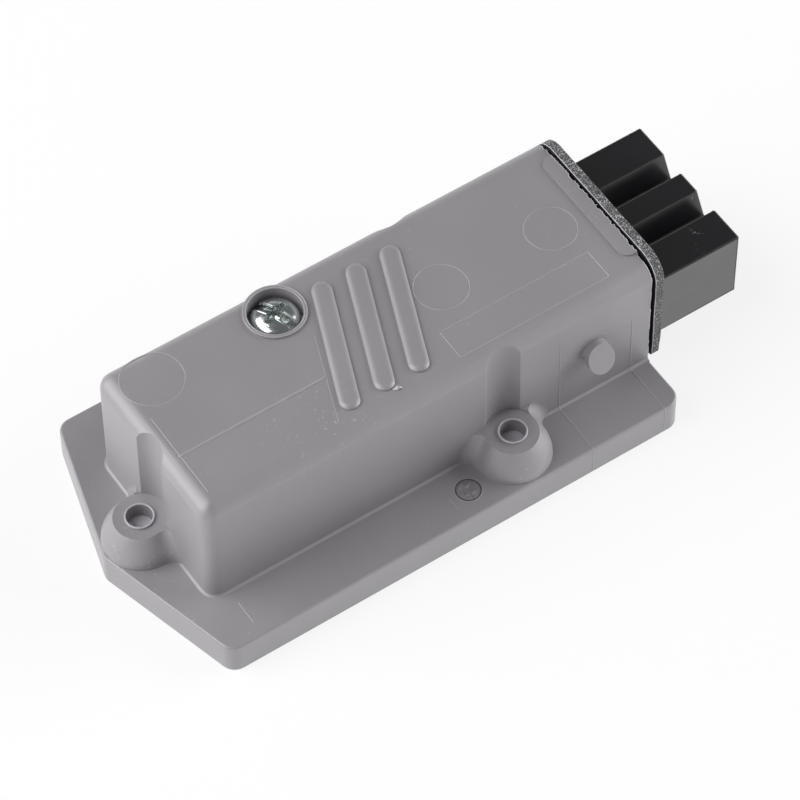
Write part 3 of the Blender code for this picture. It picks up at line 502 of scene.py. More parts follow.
def speckled_rubber(name, colour, speck, dense):
    """Cut foam rubber: matt, pitted, with many fine pale specks; dense is their share."""
    material, tree, shader, vector = new_material(name, 0.7)
    fine = remap(tree, noise(tree, vector, 4200.0, 2.0, 0.7), 0.57 - 0.16 * dense, 0.66)
    cloud = remap(tree, noise(tree, vector, 380.0, 3.0), 0.3, 0.7, 0.45, 1.0)
    feed(tree, shader["Base Color"],
         blend(tree, maths(tree, "MULTIPLY", fine, cloud), colour, speck))
    slow = bump(tree, noise(tree, vector, 260.0, 1.0), 0.4, 0.0004)
    pits = noise(tree, vector, 2600.0, 3.0, 0.7)
    feed(tree, shader["Normal"], bump(tree, pits, 0.6, 0.00012, slow))
    return material


def plated_metal(name, colour, roughness, scratch_scale):
    """Plated or bright metal with fine tumbling marks."""
    material, tree, shader, vector = new_material(name, roughness, 1.0)
    marks = noise(tree, vector, scratch_scale, 4.0, 0.65)
    feed(tree, shader["Base Color"], blend(tree, marks, [c * 0.86 for c in colour], colour))
    feed(tree, shader["Roughness"],
         remap(tree, marks, 0.25, 0.75, roughness * 0.7, roughness * 1.4))
    feed(tree, shader["Normal"], bump(tree, marks, 0.15, 0.00003))
    return material


# Settings

LENGTH = {"min": 0.0, "subtype": "DISTANCE", "unit": "LENGTH"}
SHARE = {"min": 0.0, "max": 1.0, "subtype": "FACTOR"}
COLOUR = {"size": 3, "subtype": "COLOR"}
POWER = {"min": 0.0, "unit": "POWER"}


class HousingSettings(bpy.types.PropertyGroup):
    """The grey moulding."""

    colour: FloatVectorProperty(name="Colour", description="Base colour of the grey moulding",
                                default=(0.258, 0.244, 0.264), **COLOUR)
    roughness: FloatProperty(name="Roughness", description="Satin finish of the moulding",
                             default=0.5, **SHARE)
    skin: FloatProperty(name="Skin", description="Weight of the moulding's glossier skin",
                        default=1.0, **SHARE)
    skin_index: FloatProperty(name="Skin index", description="Index of refraction of the skin",
                              default=1.85, min=1.0, max=3.0, subtype="FACTOR")
    skin_roughness: FloatProperty(name="Skin roughness", description="Roughness of the skin",
                                  default=0.5, **SHARE)
    line_width: FloatProperty(name="Line width", description="Width of a thin mould line",
                              default=0.2 * MM, **LENGTH)
    line_height: FloatProperty(name="Line height", description="Height of a thin mould line",
                               default=0.08 * MM, **LENGTH)
    flash_reach: FloatProperty(name="Flash reach", description="How far the torn edge reaches",
                               default=0.5 * MM, **LENGTH)


class InsertSettings(bpy.types.PropertyGroup):
    """The black insert and its seal."""

    colour: FloatVectorProperty(name="Colour", description="Base colour of the insert",
                                default=(0.005, 0.0035, 0.0055), **COLOUR)
    rounding: FloatProperty(name="Rounding", description="Radius of the insert's edges",
                            default=0.28 * MM, **LENGTH)
    seal_colour: FloatVectorProperty(name="Seal colour", description="Base colour of the rubber",
                                     default=(0.062, 0.061, 0.065), **COLOUR)
    backing: FloatProperty(name="Backing", description="Thickness of the seal's backing",
                           default=0.35 * MM, **LENGTH)
    backing_inset: FloatProperty(name="Backing inset", description="How far it is drawn in",
                                 default=1.7 * MM, **LENGTH)


class ScrewSettings(bpy.types.PropertyGroup):
    """The pan head screw in the roof."""

    head: FloatProperty(name="Head", description="Diameter of the pan head",
                        default=8.0 * MM, **LENGTH)
    recess_span: FloatProperty(name="Recess span", description="Width across the cross recess",
                               default=4.8 * MM, **LENGTH)
    slot_width: FloatProperty(name="Slot width", description="Width of the driver slot",
                              default=1.25 * MM, **LENGTH)
    slot_depth: FloatProperty(name="Slot depth", description="Depth of the driver slot",
                              default=1.0 * MM, **LENGTH)
    slot_turn: FloatProperty(name="Slot turn", description="How the driver slot is turned",
                             default=math.radians(113.0), subtype="ANGLE", unit="ROTATION")
    rings: IntProperty(name="Rings", description="Rings of points from the axis to the rim",
                       default=96, min=8)


class StageSettings(bpy.types.PropertyGroup):
    """Floor, lamps and surroundings."""

    floor_colour: FloatVectorProperty(name="Floor colour", description="Colour of the floor",
                                      default=(0.96, 0.96, 0.96), **COLOUR)
    floor_glow: FloatProperty(name="Floor glow", description="Share of plain white in its look",
                              default=0.8, **SHARE)
    left_lamp: FloatProperty(name="Left lamp", description="Power of the lamp on the left",
                             default=17.0, **POWER)
    right_lamp: FloatProperty(name="Right lamp", description="Power of the lamp on the right",
                              default=12.0, **POWER)
    surround: FloatProperty(name="Surround", description="Brightness of the surroundings",
                            default=0.17, min=0.0, subtype="FACTOR")


class ConnectorSettings(bpy.types.PropertyGroup):
    """All settings of the connector's looks."""

    housing: PointerProperty(type=HousingSettings)
    insert: PointerProperty(type=InsertSettings)
    screw: PointerProperty(type=ScrewSettings)
    stage: PointerProperty(type=StageSettings)


# Operators

class ConnectorOperator:
    """What the connector's operators share."""

    bl_options = {"REGISTER", "UNDO"}

    def settings(self, context):
        """The settings kept on the scene."""
        return context.scene.connector


def stand(name, data, axes, position):
    """Puts a lamp or a camera at a place, with its own axes given."""
    matrix = np.eye(4)
    matrix[:3, :3] = np.stack(axes, axis=1)
    matrix[:3, 3] = position
    holder = bpy.data.objects.new(name, data)
    holder.matrix_world = Matrix(matrix.tolist())
    bpy.context.scene.collection.objects.link(holder)
    return holder


def soft_lamp(name, position, size, power):
    """A square area lamp that faces the part."""
    lamp = bpy.data.lights.new(name, "AREA")
    lamp.energy = power
    lamp.size = size
    towards = np.array(LAMP_TARGET) - position
    towards /= np.linalg.norm(towards)
    side = np.cross(towards, (0.0, 1.0, 0.01))
    side /= np.linalg.norm(side)
    stand(name, lamp, (side, np.cross(side, towards), -towards), position)


def aim_camera():
    """Sets the camera from its azimuth, elevation, roll and place.

    Forward comes from azimuth and elevation, right is level, and both turn by the roll.
    """
    a, e, roll = CAMERA_AZIMUTH, CAMERA_ELEVATION, CAMERA_ROLL
    forward = np.array([math.sin(a) * math.cos(e), math.cos(a) * math.cos(e), -math.sin(e)])
    right = np.array([math.cos(a), -math.sin(a), 0.0])
    down = np.cross(forward, right)
    turned_right = right * math.cos(roll) - down * math.sin(roll)
    turned_down = right * math.sin(roll) + down * math.cos(roll)
    camera = bpy.data.cameras.new("camera")
    camera.sensor_width = SENSOR
    camera.lens = CAMERA_FOCAL_PIXELS / PICTURE_PIXELS * SENSOR
    bpy.context.scene.camera = stand("camera", camera, (turned_right, -turned_down, -forward),
                                     (SOCKET_END - CAMERA_BACK, CAMERA_ACROSS, CAMERA_UP))


def floor_material(colour, glow):
    """A pale floor that looks nearly white to the eye and in gloss, and keeps a shadow."""
    material, tree, shader, _ = new_material("floor", 0.9)
    shader["Base Color"].default_value = (*colour, 1.0)
    white = new_node(tree, "ShaderNodeEmission", {"Color": (1.0, 1.0, 1.0, 1.0), "Strength": 1.0})
    rays = tree.nodes.new("ShaderNodeLightPath").outputs
    seen = maths(tree, "MULTIPLY", rays["Is Camera Ray"], glow)
    mirrored = maths(tree, "MAXIMUM", rays["Is Glossy Ray"], rays["Is Transmission Ray"])
    mix = new_node(tree, "ShaderNodeMixShader",
                   {0: maths(tree, "MAXIMUM", seen, mirrored),
                    1: tree.nodes["Principled BSDF"].outputs["BSDF"],
                    2: white.outputs["Emission"]})
    tree.links.new(mix.outputs["Shader"], tree.nodes["Material Output"].inputs["Surface"])
    return material


def floor_surface():
    """A round floor that turns up into a low backdrop.

    The profile runs level from the axis, turns up by a quarter circle and ends in a low wall.
    It is carried round the upright axis, a hair below the part's foot.
    """
    level, turn, wall, drop = 2.2, 0.6, 0.5, 0.02 * MM
    a = np.linspace(0.0, np.pi / 2, 24)
    radius = np.concatenate([[0.0, 0.5, 1.2], level + turn * np.sin(a), [level + turn]])
    height = np.concatenate([np.zeros(3), turn * (1 - np.cos(a)), [turn + wall]]) - drop
    return surface(turned(radius[:, None], around(96), height[:, None]))


class CONNECTOR_OT_stage(ConnectorOperator, bpy.types.Operator):
    """Adds the camera, the pale floor and the soft studio light."""

    bl_idname = "connector.stage"
    bl_label = "Stage"

    def execute(self, context):
        look = self.settings(context).stage
        context.scene.view_settings.view_transform = "Standard"
        aim_camera()
        points, faces = floor_surface()
        mesh = bpy.data.meshes.new("floor")
        mesh.from_pydata(points.tolist(), [], faces.tolist())
        mesh.shade_smooth()
        mesh.materials.append(floor_material(look.floor_colour, look.floor_glow))
        floor = bpy.data.objects.new("floor", mesh)
        context.scene.collection.objects.link(floor)
        world = bpy.data.worlds.new("surround")
        context.scene.world = world
        world.use_nodes = True
        back = world.node_tree.nodes["Background"].inputs
        back["Color"].default_value = (1.0, 1.0, 1.0, 1.0)
        back["Strength"].default_value = look.surround
        for lamp, power in zip(LAMPS, (look.left_lamp, look.right_lamp)):
            soft_lamp(*lamp, power)
        return {"FINISHED"}


class CONNECTOR_OT_housing(ConnectorOperator, bpy.types.Operator):
    """Dresses the grey moulding in its own finish."""

    bl_idname = "connector.housing"
    bl_label = "Housing"

    def execute(self, context):
        grey = grey_plastic(self.settings(context).housing, "hood_grey", 1.0,
                            (0.62, 0.61, 0.62), 0.25, 0.4, HOUSING_WEAR)
        smooth_copy("housing", "housing_shell", [grey])
        return {"FINISHED"}


def roof_height(across):
    """Height of the roof at a distance across: level, then falling round its side fillet.

    The fillet is a quarter circle, so the drop is its radius less the root of radius squared
    minus the square of the distance past the fillet's start.
    """
    past = np.clip(np.abs(across) - (HOOD_HALF - ROOF_FILLET), 0.0, ROOF_FILLET * 0.98)
    return ROOF_TOP - ROOF_FILLET + np.sqrt(ROOF_FILLET ** 2 - past ** 2)


def hood_wall(height):
    """Distance of the hood's long wall from the middle at a height, with its draft."""
    return HOOD_HALF - HOOD_DRAFT * (height - PLATE_TOP)


def marks_on_roof(width, height):
    """Thin lines moulded on the roof: ejector rings, the label frame, the rules and dots."""
    parts = []
    for back, across, size in EJECTOR_RINGS:
        path = ring(place(back, across, 0.0), size / 2 * MM)
        path[:, 2] = roof_height(path[:, 1])
        fade = 0.7 + 0.3 * smooth_noise(len(path), int(back), 6, closed=True)
        parts.append(bead(path, width * 0.9, height * fade, True))
    top = ROOF_TOP / MM
    corners = [place(back, across, top) for back, across in LABEL_FRAME]
    for k, corner in enumerate(corners):
        path = straight(corner, corners[(k + 1) % 4], 90)
        parts.append(bead(path, width, height * (0.8 + 0.45 * smooth_noise(90, 40 + k, 2))))
    for start, end, weight in RULES:
        path = straight(place(*start, top), place(*end, top), 60)
        fade = 0.85 + 0.25 * smooth_noise(60, int(start[0]), 4)
        parts.append(bead(path, width * weight, height * weight * fade))
    for back, across, size in DOTS:
        path = ring(place(back, across, top), size * 0.25 * MM, 24)
        parts.append(bead(path, size * 0.48 * MM, height * 2.0, True))
    return joined(parts)


def line_down_the_side(back, top, width, height, side):
    """A mould line down the hood's wall, over the plate and down the plate's edge.

    The path runs straight down the wall, out over the plate and down its edge. The line's
    upward direction turns from the wall's to the plate's and back, eased over each corner.
    """
    def run(across, up):
        """Points of one stretch on the line's own side."""
        return np.stack([0 * up + SOCKET_END - back * MM, side * (across + 0 * up), up], axis=1)

    foot = PLATE_TOP + HOOD_FOOT
    drop = np.linspace(top * MM, foot, 30)
    t = np.linspace(0.0, np.pi / 2, 5)[1:]
    start, end = hood_wall(foot), PLATE_HALF - PLATE_EDGE
    out = np.linspace(start + HOOD_FOOT * 1.2, end, 20)
    path = np.concatenate([
        run(hood_wall(drop), drop),
        run(start + HOOD_FOOT * (1 - np.cos(t)), foot - HOOD_FOOT * np.sin(t)),
        run(out, np.full(20, PLATE_TOP)),
        run(end + PLATE_EDGE * np.sin(t), PLATE_TOP - PLATE_EDGE * (1 - np.cos(t))),
        run(PLATE_HALF, np.linspace(PLATE_TOP - PLATE_EDGE * 1.4, 0.25 * MM, 14))])
    lean = np.concatenate([np.zeros(30), t, np.full(20, np.pi / 2), np.pi / 2 - t, np.zeros(14)])
    up = np.stack([0 * lean, side * np.cos(lean), np.sin(lean)], axis=1)
    fade = 0.8 + 0.2 * smooth_noise(len(path), int(back * 10), 5)
    return bead(path, width, height * fade, up=up)


def marks_on_sides(width, height):
    """Parting and witness lines of the mould on the walls, the plate and its edge."""
    parts = [line_down_the_side(back, top, width, height, side)
             for back, top in PARTING_LINES for side in (-1.0, 1.0)]
    for back, near, far in WITNESS_LINES:
        path = straight(place(back, -near, PLATE_TOP / MM), place(back, -far, PLATE_TOP / MM), 16)
        parts.append(bead(path, width, height * 0.8))
    return joined(parts)


def hole_rims(width, height):
    """Thin pale lips round the three fixing holes, a little uneven: a painted highlight on the
    rims.
    """
    parts = []
    for k, (back, across) in enumerate(BOSS_HOLES):
        path = ring(place(back, across, HOLE_RIM_TOP / MM), HOLE_RADIUS + width / 2, 72)
        uneven = 0.8 + 0.35 * smooth_noise(72, 70 + k, 3, closed=True)
        parts.append(bead(path, width, height * uneven, True, sunk=0.15 * MM))
    return joined(parts)


def well_rings(height):
    """Two fine rings on the rim of the screw well, with a groove between them; in the pale line
    finish they paint the highlights on the rim's edges.
    """
    middle = np.array([SCREW_MIDDLE.x, SCREW_MIDDLE.y, WELL_RIM_TOP])
    parts = []
    for inset, seed in ((0.12, 80), (WELL_RIM / MM - 0.14, 81)):
        path = ring(middle, WELL_RADIUS + inset * MM, 128)
        uneven = 0.85 + 0.2 * smooth_noise(128, seed, 5, closed=True)
        parts.append(bead(path, 0.26 * MM, height * uneven, True))
    return joined(parts)


def disc(centre, radius, height, r, t):
    """A closed round plate on a surface, for a height at each place of a polar grid.

    The grid's rows go from the axis to the rim. A last row steps down under the rim, and one
    more closes the underside in the axis.
    """
    top = turned(radius * r, t, centre[2] + height, centre)
    foot = top[-1:] * 1.0
    foot[..., 2] = centre[2] - 0.05 * MM
    hub = foot * 1.0
    hub[..., :2] = centre[:2]
    return surface(np.concatenate([top, foot, hub]))


def rough_disc(r, t, seed, waves, spread):
    """A seeded sum of sines over a disc, each with its own direction, pitch and phase."""
    rng = np.random.default_rng(seed)
    total = 0 * r * t
    for _ in range(waves):
        a = rng.uniform(-spread, spread)
        b = rng.uniform(-spread, spread)
        phase = rng.uniform(0, 6.28)
        total = total + np.sin(a * r * np.cos(t) + b * r * np.sin(t) + phase)
    return total


def date_disc(back, across, radius):
    """A mould insert's witness on the plate: a low face with worn pads, short of its rim.

    Height over the face is a seeded sum of sines, cut at nought, so that it stands in small
    pads. Short rays stand round it, as the cosine of 26 turns, cut at nought.
    """
    r, t = np.linspace(0.0, 1.0, 40)[:, None], around(208)[None, :]
    pads = np.clip(rough_disc(r, t, 91, 18, 13) / 4.0, 0.0, 1.0)
    pads = pads * (1 - 0.6 * smooth_step(r, 0.5, 0.7))
    rays = 0.5 * np.clip(np.cos(26 * t), 0.0, 1.0) * smooth_step(r, 0.6, 0.68)
    height = (0.03 + 0.2 * (pads + rays) * (1 - smooth_step(r, 0.86, 0.95))) * MM
    return disc(place(back, across, PLATE_TOP / MM), radius, height, r, t)


def date_rings(back, across, radius):
    """The disc's rim: a dark bead that paints the shade of a groove, wider on one side and uneven
    in height, and a faint lip.
    """
    centre = place(back, across, PLATE_TOP / MM)
    fade = 0.75 + 0.3 * smooth_noise(96, 93, 4, closed=True)
    # The painted shade is widest on one side, turned 55 degrees round, where the groove's shade
    # falls deepest
    deeper_shade = 0.6 + 0.4 * np.cos(around(96) - math.radians(55.0))
    dark = bead(ring(centre, radius + 0.08 * MM), (0.2 + 0.16 * deeper_shade) * MM, 0.07 * MM * fade,
                True, sunk=0.05 * MM)
    lip = bead(ring(centre, radius + 0.34 * MM), 0.18 * MM, 0.05 * MM * fade, True,
               sunk=0.05 * MM)
    return dark, lip


def hole_webs():
    """Thin skins that close the three fixing holes, a little domed and uneven.

    Height is one minus the radius squared, plus a seeded sum of sines that fades at the rim.
    """
    r, t = np.linspace(0.0, 1.0, 20)[:, None], around(72)[None, :]
    return joined([
        disc(place(back, across, BOSS_WEB_TOP / MM), HOLE_RADIUS - 0.03 * MM,
             ((1 - r ** 2) * (0.12 + 0.02 * rough_disc(r, t, 60 + k, 10, 12)) + 0.02) * MM, r, t)
        for k, (back, across) in enumerate(BOSS_HOLES)])


class CONNECTOR_OT_mould_marks(ConnectorOperator, bpy.types.Operator):
    """Adds the thin lines that the mould left on the roof, walls and plate."""

    bl_idname = "connector.mould_marks"
    bl_label = "Mould marks"

    def execute(self, context):
        look = self.settings(context).housing
        # The mould lines and the hole rims are paler than the housing: painted highlights on
        # their thin ridges and lips
        line, pale, web_painted_light, face = (
            grey_plastic(look, name, times, (light,) * 3, grain, ripple)
            for name, times, light, grain, ripple in (
                ("mould_line_highlight", 1.25, 0.6, 0.1, 0.1), ("hole_rim_highlight", 1.7, 0.7, 0.1, 0.1),
                # The hole webs are far paler than the housing: painted light that seems to come
                # through the thin skins
                ("hole_web", 2.3, 0.6, 0.4, 0.2), ("mould_disc", 0.72, 0.5, 0.2, 0.1)))
        # Dark: painted shade for the groove round the date disc
        groove = moulded_plastic("date_groove_shade", [c * 0.3 for c in look.colour], (0.2,) * 3,
                                 0.7, 0.2, 0.1)
        size = look.line_width, look.line_height
        dark, lip = date_rings(*DATE_DISC)
        for name, shape, finish in (
                ("roof_marks", marks_on_roof(*size), line),
                ("side_marks", marks_on_sides(*size), line),
                ("hole_rims", hole_rims(0.32 * MM, 0.14 * MM), pale),
                ("well_rings", well_rings(0.1 * MM), line), ("hole_webs", hole_webs(), web_painted_light),
                ("date_disc", date_disc(*DATE_DISC), face), ("date_groove", dark, groove),
                ("date_lip", lip, line)):
            add_piece(name, *shape, [finish])
        return {"FINISHED"}


def hood_end_outline(count):
    """Across, height and outward direction round the hood's socket end, foot to foot.

    It runs up the front wall, round the roof's fillet, along the roof, which the lip raises by
    an eased step, and down the other side, at even spacing.
    """
    wall_top = ROOF_TOP - ROOF_FILLET
    half = hood_wall(wall_top)
    up = wall_top - PLATE_TOP - 0.8 * MM
    turn = ROOF_FILLET * np.pi / 2
    level = 2 * (half - ROOF_FILLET)
    s = np.linspace(0.0, 2 * up + 2 * turn + level, count)
    a = np.clip((s - up) / turn, 0.0, 1.0) * np.pi / 2
    b = np.clip((s - up - turn - level) / turn, 0.0, 1.0) * np.pi / 2
    along = np.clip(s - up - turn, 0.0, level)
    down = np.clip(s - up - 2 * turn - level, 0.0, None)
    y = -half + ROOF_FILLET * (1 - np.cos(a)) + along + ROOF_FILLET * np.sin(b)
    z = (wall_top - up + np.clip(s, 0.0, up) + ROOF_FILLET * np.sin(a)
         - ROOF_FILLET * (1 - np.cos(b)) - down)
    y = y + np.sign(y) * HOOD_DRAFT * (wall_top - np.minimum(z, wall_top))
    step = smooth_step(y, -12.45 * MM, -12.0 * MM) - smooth_step(y, 12.2 * MM, 12.65 * MM)
    angle = np.pi - a - b
    return y, z + step * (LIP_TOP - ROOF_TOP), np.cos(angle), np.sin(angle)


def torn_edge(reach):
    """The torn flash along the hood's socket end, and which of its faces are its pale rim.

    A thin wedge follows the end's outline, level with the hood: its root is sunk in the hood,
    and its tip stands out towards the seal by a ragged share of the reach.
    """
    count = 1500
    y, z, out_y, out_z = hood_end_outline(count)
    share = ragged(count, 7, 4, 15)
    sides = np.abs(y) > hood_wall(ROOF_TOP) - 0.3 * MM
    tip = share * reach * np.where(sides, 0.3, 1.0)
    crest = np.where(sides, 0.01, 0.015) * MM
    thick = (0.1 + 0.1 * share) * MM
    profile = ((-0.5 * MM, -0.05 * MM), (-0.08 * MM, crest),
               (np.minimum(tip - 0.14 * MM, tip * 0.75), crest), (tip, crest - 0.03 * MM),
               (tip, crest - thick), (-0.06 * MM, -thick - 0.3 * MM), (-0.5 * MM, -0.4 * MM))
    points = np.stack([np.stack([SOCKET_END + ahead + 0 * y, y + out_y * out, z + out_z * out],
                                axis=1) for ahead, out in profile], axis=1)
    points, faces = surface(with_ends(points))
    return points, faces, np.tile(np.arange(len(profile)), count + 1) == 2


def burr(back, across):
    """A torn tag of plastic at a grip bar's end: a ragged leaf that curls up from the roof.

    Its section is an ellipse whose width swells by a half sine along the leaf, times a ragged
    share, and its lift grows towards the tip.
    """
    length = 36
    t = np.linspace(0.0, 1.0, length)[:, None]
    v = around(10)[None, :]
    swell = np.sin(np.pi * t)
    width = (0.09 + 0.36 * swell * (0.2 + 0.8 * ragged(length, 21, 3, 9)[:, None])) * MM
    thick = 0.07 * MM * np.sin(np.pi * np.clip(t, 0.03, 0.97))
    centre = place(back, across, ROOF_TOP / MM)
    along = np.array([0.93, -0.37])
    run = (t - 0.5) * 1.7 * MM
    points = np.stack([centre[0] + along[0] * run - along[1] * width * np.cos(v),
                       centre[1] + along[1] * run + along[0] * width * np.cos(v),
                       centre[2] + (0.05 + 0.5 * swell * t) * MM + thick * np.sin(v)
                       + 0.25 * width * np.cos(v)], axis=-1)
    return surface(with_ends(points))


class CONNECTOR_OT_flash(ConnectorOperator, bpy.types.Operator):
    """Adds the torn flash at the socket end and the burr beside a grip bar."""

    bl_idname = "connector.flash"
    bl_label = "Flash and burr"

    def execute(self, context):
        look = self.settings(context).housing
        torn = grey_plastic(look, "torn_plastic", 1.04, (0.7,) * 3, 0.4, 0.2)
        pale = moulded_plastic("torn_rim", [c * 3.0 for c in look.colour], (0.75,) * 3,
                               look.roughness + 0.1, 0.5, 0.2)
        tag = grey_plastic(look, "torn_tag", 1.5, (0.7,) * 3, 0.6, 0.3)
        points, faces, rim = torn_edge(look.flash_reach)
        add_piece("torn_edge", points, faces, [torn, pale], sharp=60.0, marks=rim)
        add_piece("burr", *burr(*BURR), [tag], sharp=60.0)
        return {"FINISHED"}


class CONNECTOR_OT_carrier(ConnectorOperator, bpy.types.Operator):
    """Dresses the black insert and the plate behind it."""

    bl_idname = "connector.carrier"
    bl_label = "Contact carrier"

    def execute(self, context):
        look = self.settings(context).insert
        black = moulded_plastic("insert_black", look.colour, (0.30, 0.30, 0.31), 0.36, 0.2, 0.3,
                                (620.0, 0.05, 0.4), (1.0, 1.46, 0.22), INSERT_WEAR)
        # The edge finish is far paler than the insert: a painted highlight along the rounded
        # edges, with a little wear
        wear_and_painted_light = moulded_plastic("insert_edge_highlight", (0.085, 0.085, 0.09), (0.4,) * 3, 0.45, 0.3, 0.2,
                               (900.0, 0.3, 0.6))
        smooth_copy("contact_carrier", "insert", [black, wear_and_painted_light], look.rounding)
        dress(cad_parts["wire_guide_plate"], black)
        return {"FINISHED"}


def seal_outline(count):
    """Across, height and outward direction round the seal, from the front foot upwards.

    Each corner is a quarter circle. The four sides and corners are laid end to end, and points
    are spaced evenly along them.
    """
    half, low, high = SEAL_HIGH.y, SEAL_LOW.z, SEAL_HIGH.z
    foot, crown = 0.8 * MM, 4.6 * MM
    corners = (((-half + foot, low + foot), foot, 1.5),
               ((-half + crown, high - crown), crown, 1.0),
               ((half - crown, high - crown), crown, 0.5),
               ((half - foot, low + foot), foot, 0.0))
    y, z, angles = [], [], []
    for (cy, cz), radius, start in corners:
        a = np.pi * (start - np.linspace(0.0, 0.5, 24))
        y.append(cy + radius * np.cos(a))
        z.append(cz + radius * np.sin(a))
        angles.append(a)
    y, z, angles = np.concatenate(y), np.concatenate(z), np.concatenate(angles)
    y, z = np.append(y, y[0]), np.append(z, z[0])
    angles = np.append(angles, angles[0] - 2 * np.pi)
    run = np.concatenate([[0.0], np.cumsum(np.hypot(np.diff(y), np.diff(z)))])
    at = np.linspace(0.0, run[-1], count, endpoint=False)
    a = np.interp(at, run, angles)
    return np.interp(at, run, y), np.interp(at, run, z), np.cos(a), np.sin(a)


def seal_surface(backing, inset):
    """The rubber seal: a closed section carried round its outline, and each face's finish.

    The section goes from the window out over the rear face, in and along the backing that is
    drawn in by the inset, round the foam's pitted outer face and back over the front face. The
    window is the nearest point of the crown's outline, grown by the gap. The front face comes
    back a little towards the foot, and the outline wavers by a seeded noise.
    """
    count = 640
    y, z, out_y, out_z = seal_outline(count)
    wide = CARRIER_HIGH.y + GAP
    window_y = np.clip(y, -wide, wide)
    window_z = np.clip(z, CROWN_BOTTOM - GAP, CROWN_TOP + GAP)
    rear = SEAL_LOW.x
    front = SEAL_HIGH.x - 0.22 * MM * smooth_step(-z, -12.0 * MM, -7.0 * MM)
    waver = 0.05 * MM * smooth_noise(count, 31, 12, closed=True)
    foam = rear + backing
    outer = [(rear, -inset), (foam - 0.02 * MM, -inset), (foam, -0.30 * MM), (foam, -0.03 * MM),
             (foam + 0.05 * MM, 0.02 * MM), (foam + 0.12 * MM, -0.01 * MM)]
    rng = np.random.default_rng(33)
    for share in np.linspace(0.0, 1.0, 14):
        pits = -0.05 * MM * rng.uniform(0.0, 1.0, count) ** 2
        outer.append((foam + 0.2 * MM + (front - foam - 0.4 * MM) * share, pits - 0.01 * MM))
    outer += [(front - 0.1 * MM, -0.03 * MM), (front, -0.14 * MM), (front, -0.3 * MM)]
    rows = [np.stack([np.full(count, rear), window_y, window_z], axis=1)]
    rows += [np.stack([x + 0 * y, y + out_y * (out + waver), z + out_z * (out + waver)], axis=1)
             for x, out in outer]
    rows.append(np.stack([front, window_y, window_z], axis=1))
    points, faces = surface(np.stack(rows), True)
    row = np.repeat(np.arange(len(rows)), count)
    # Faces over the rear face and the backing take the third finish, the near-black painted shade
    # of the gap; the foam's rear edge takes the second
    return points, faces, np.where(row < 4, 2, (row == 4) | (row == 5))


class CONNECTOR_OT_seal(ConnectorOperator, bpy.types.Operator):
    """Makes the rubber seal on the socket face."""

    bl_idname = "connector.seal"
    bl_label = "Face seal"

    def execute(self, context):
        look = self.settings(context).insert
        rubber = speckled_rubber("seal_black", look.seal_colour, (0.66, 0.65, 0.67), 0.5)
        edge = speckled_rubber("seal_edge", [c * 8.5 for c in look.seal_colour], (0.85,) * 3, 1.0)
        # The backing is near black: painted shade in the gap between the hood's end and the seal
        dark = speckled_rubber("seal_backing_shade", (0.004,) * 3, (0.03,) * 3, 0.2)
        points, faces, marks = seal_surface(look.backing, look.backing_inset)
        piece = add_piece("seal", points, faces, [rubber, edge, dark], "seal_black", 60.0, marks)
        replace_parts(piece, "face_seal")
        return {"FINISHED"}


def screw_recess(x, y, look):
    """Depth of the screw's recess at places about its axis.

    A driver slot runs right across, with two fine steps along its sides. Two tapered wings and
    a tapered core make the cross, deepest in the middle. The depth is the deepest of these,
    each with steep eased walls. Outside them a thin burr stands up along the edges: one minus
    the distance from its crest over half its width.
    """
    turn = look.slot_turn
    along = x * math.cos(turn) + y * math.sin(turn)
    across = y * math.cos(turn) - x * math.sin(turn)
    far, wide = np.abs(along), np.abs(across)
    wall, lip = 0.08 * MM, 0.13 * MM

    def inside(distance, half):
        """1 within half a width, eased to 0 over the wall."""
        return 1.0 - smooth_step(distance, half - wall / 2, half + wall / 2)

    def crest(distance, half):
        """1 at a lip outside half a width, falling straight to 0 on both sides."""
        return np.clip(1.0 - np.abs(distance - half - lip) / lip, 0.0, 1.0)

    slot = look.slot_depth * inside(wide, look.slot_width / 2)
    steps = 0.22 * MM * inside(wide, look.slot_width / 2 + 0.22 * MM)
    span, wing = look.recess_span / 2, 0.5 * MM
    floor = 2.3 * MM * (1.0 - 0.6 * np.clip(np.maximum(far, wide) / span, 0, 1))
    cross = floor * np.maximum(inside(far, wing) * inside(wide, span),
                               inside(wide, wing) * inside(far, span))
    core = 1.9 * MM * inside(far + wide, 1.55 * MM)
    star = 0.6 * MM * inside(far, 1.05 * MM) * inside(wide, 1.05 * MM)
    depth = np.maximum.reduce([slot, steps, cross, core, star])
    sides = crest(wide, look.slot_width / 2 + 0.2 * MM)
    ends = crest(wide, span) * inside(far, wing + 0.15 * MM)
    return depth - 0.07 * MM * np.maximum(sides, ends) * (depth < 0.02 * MM)


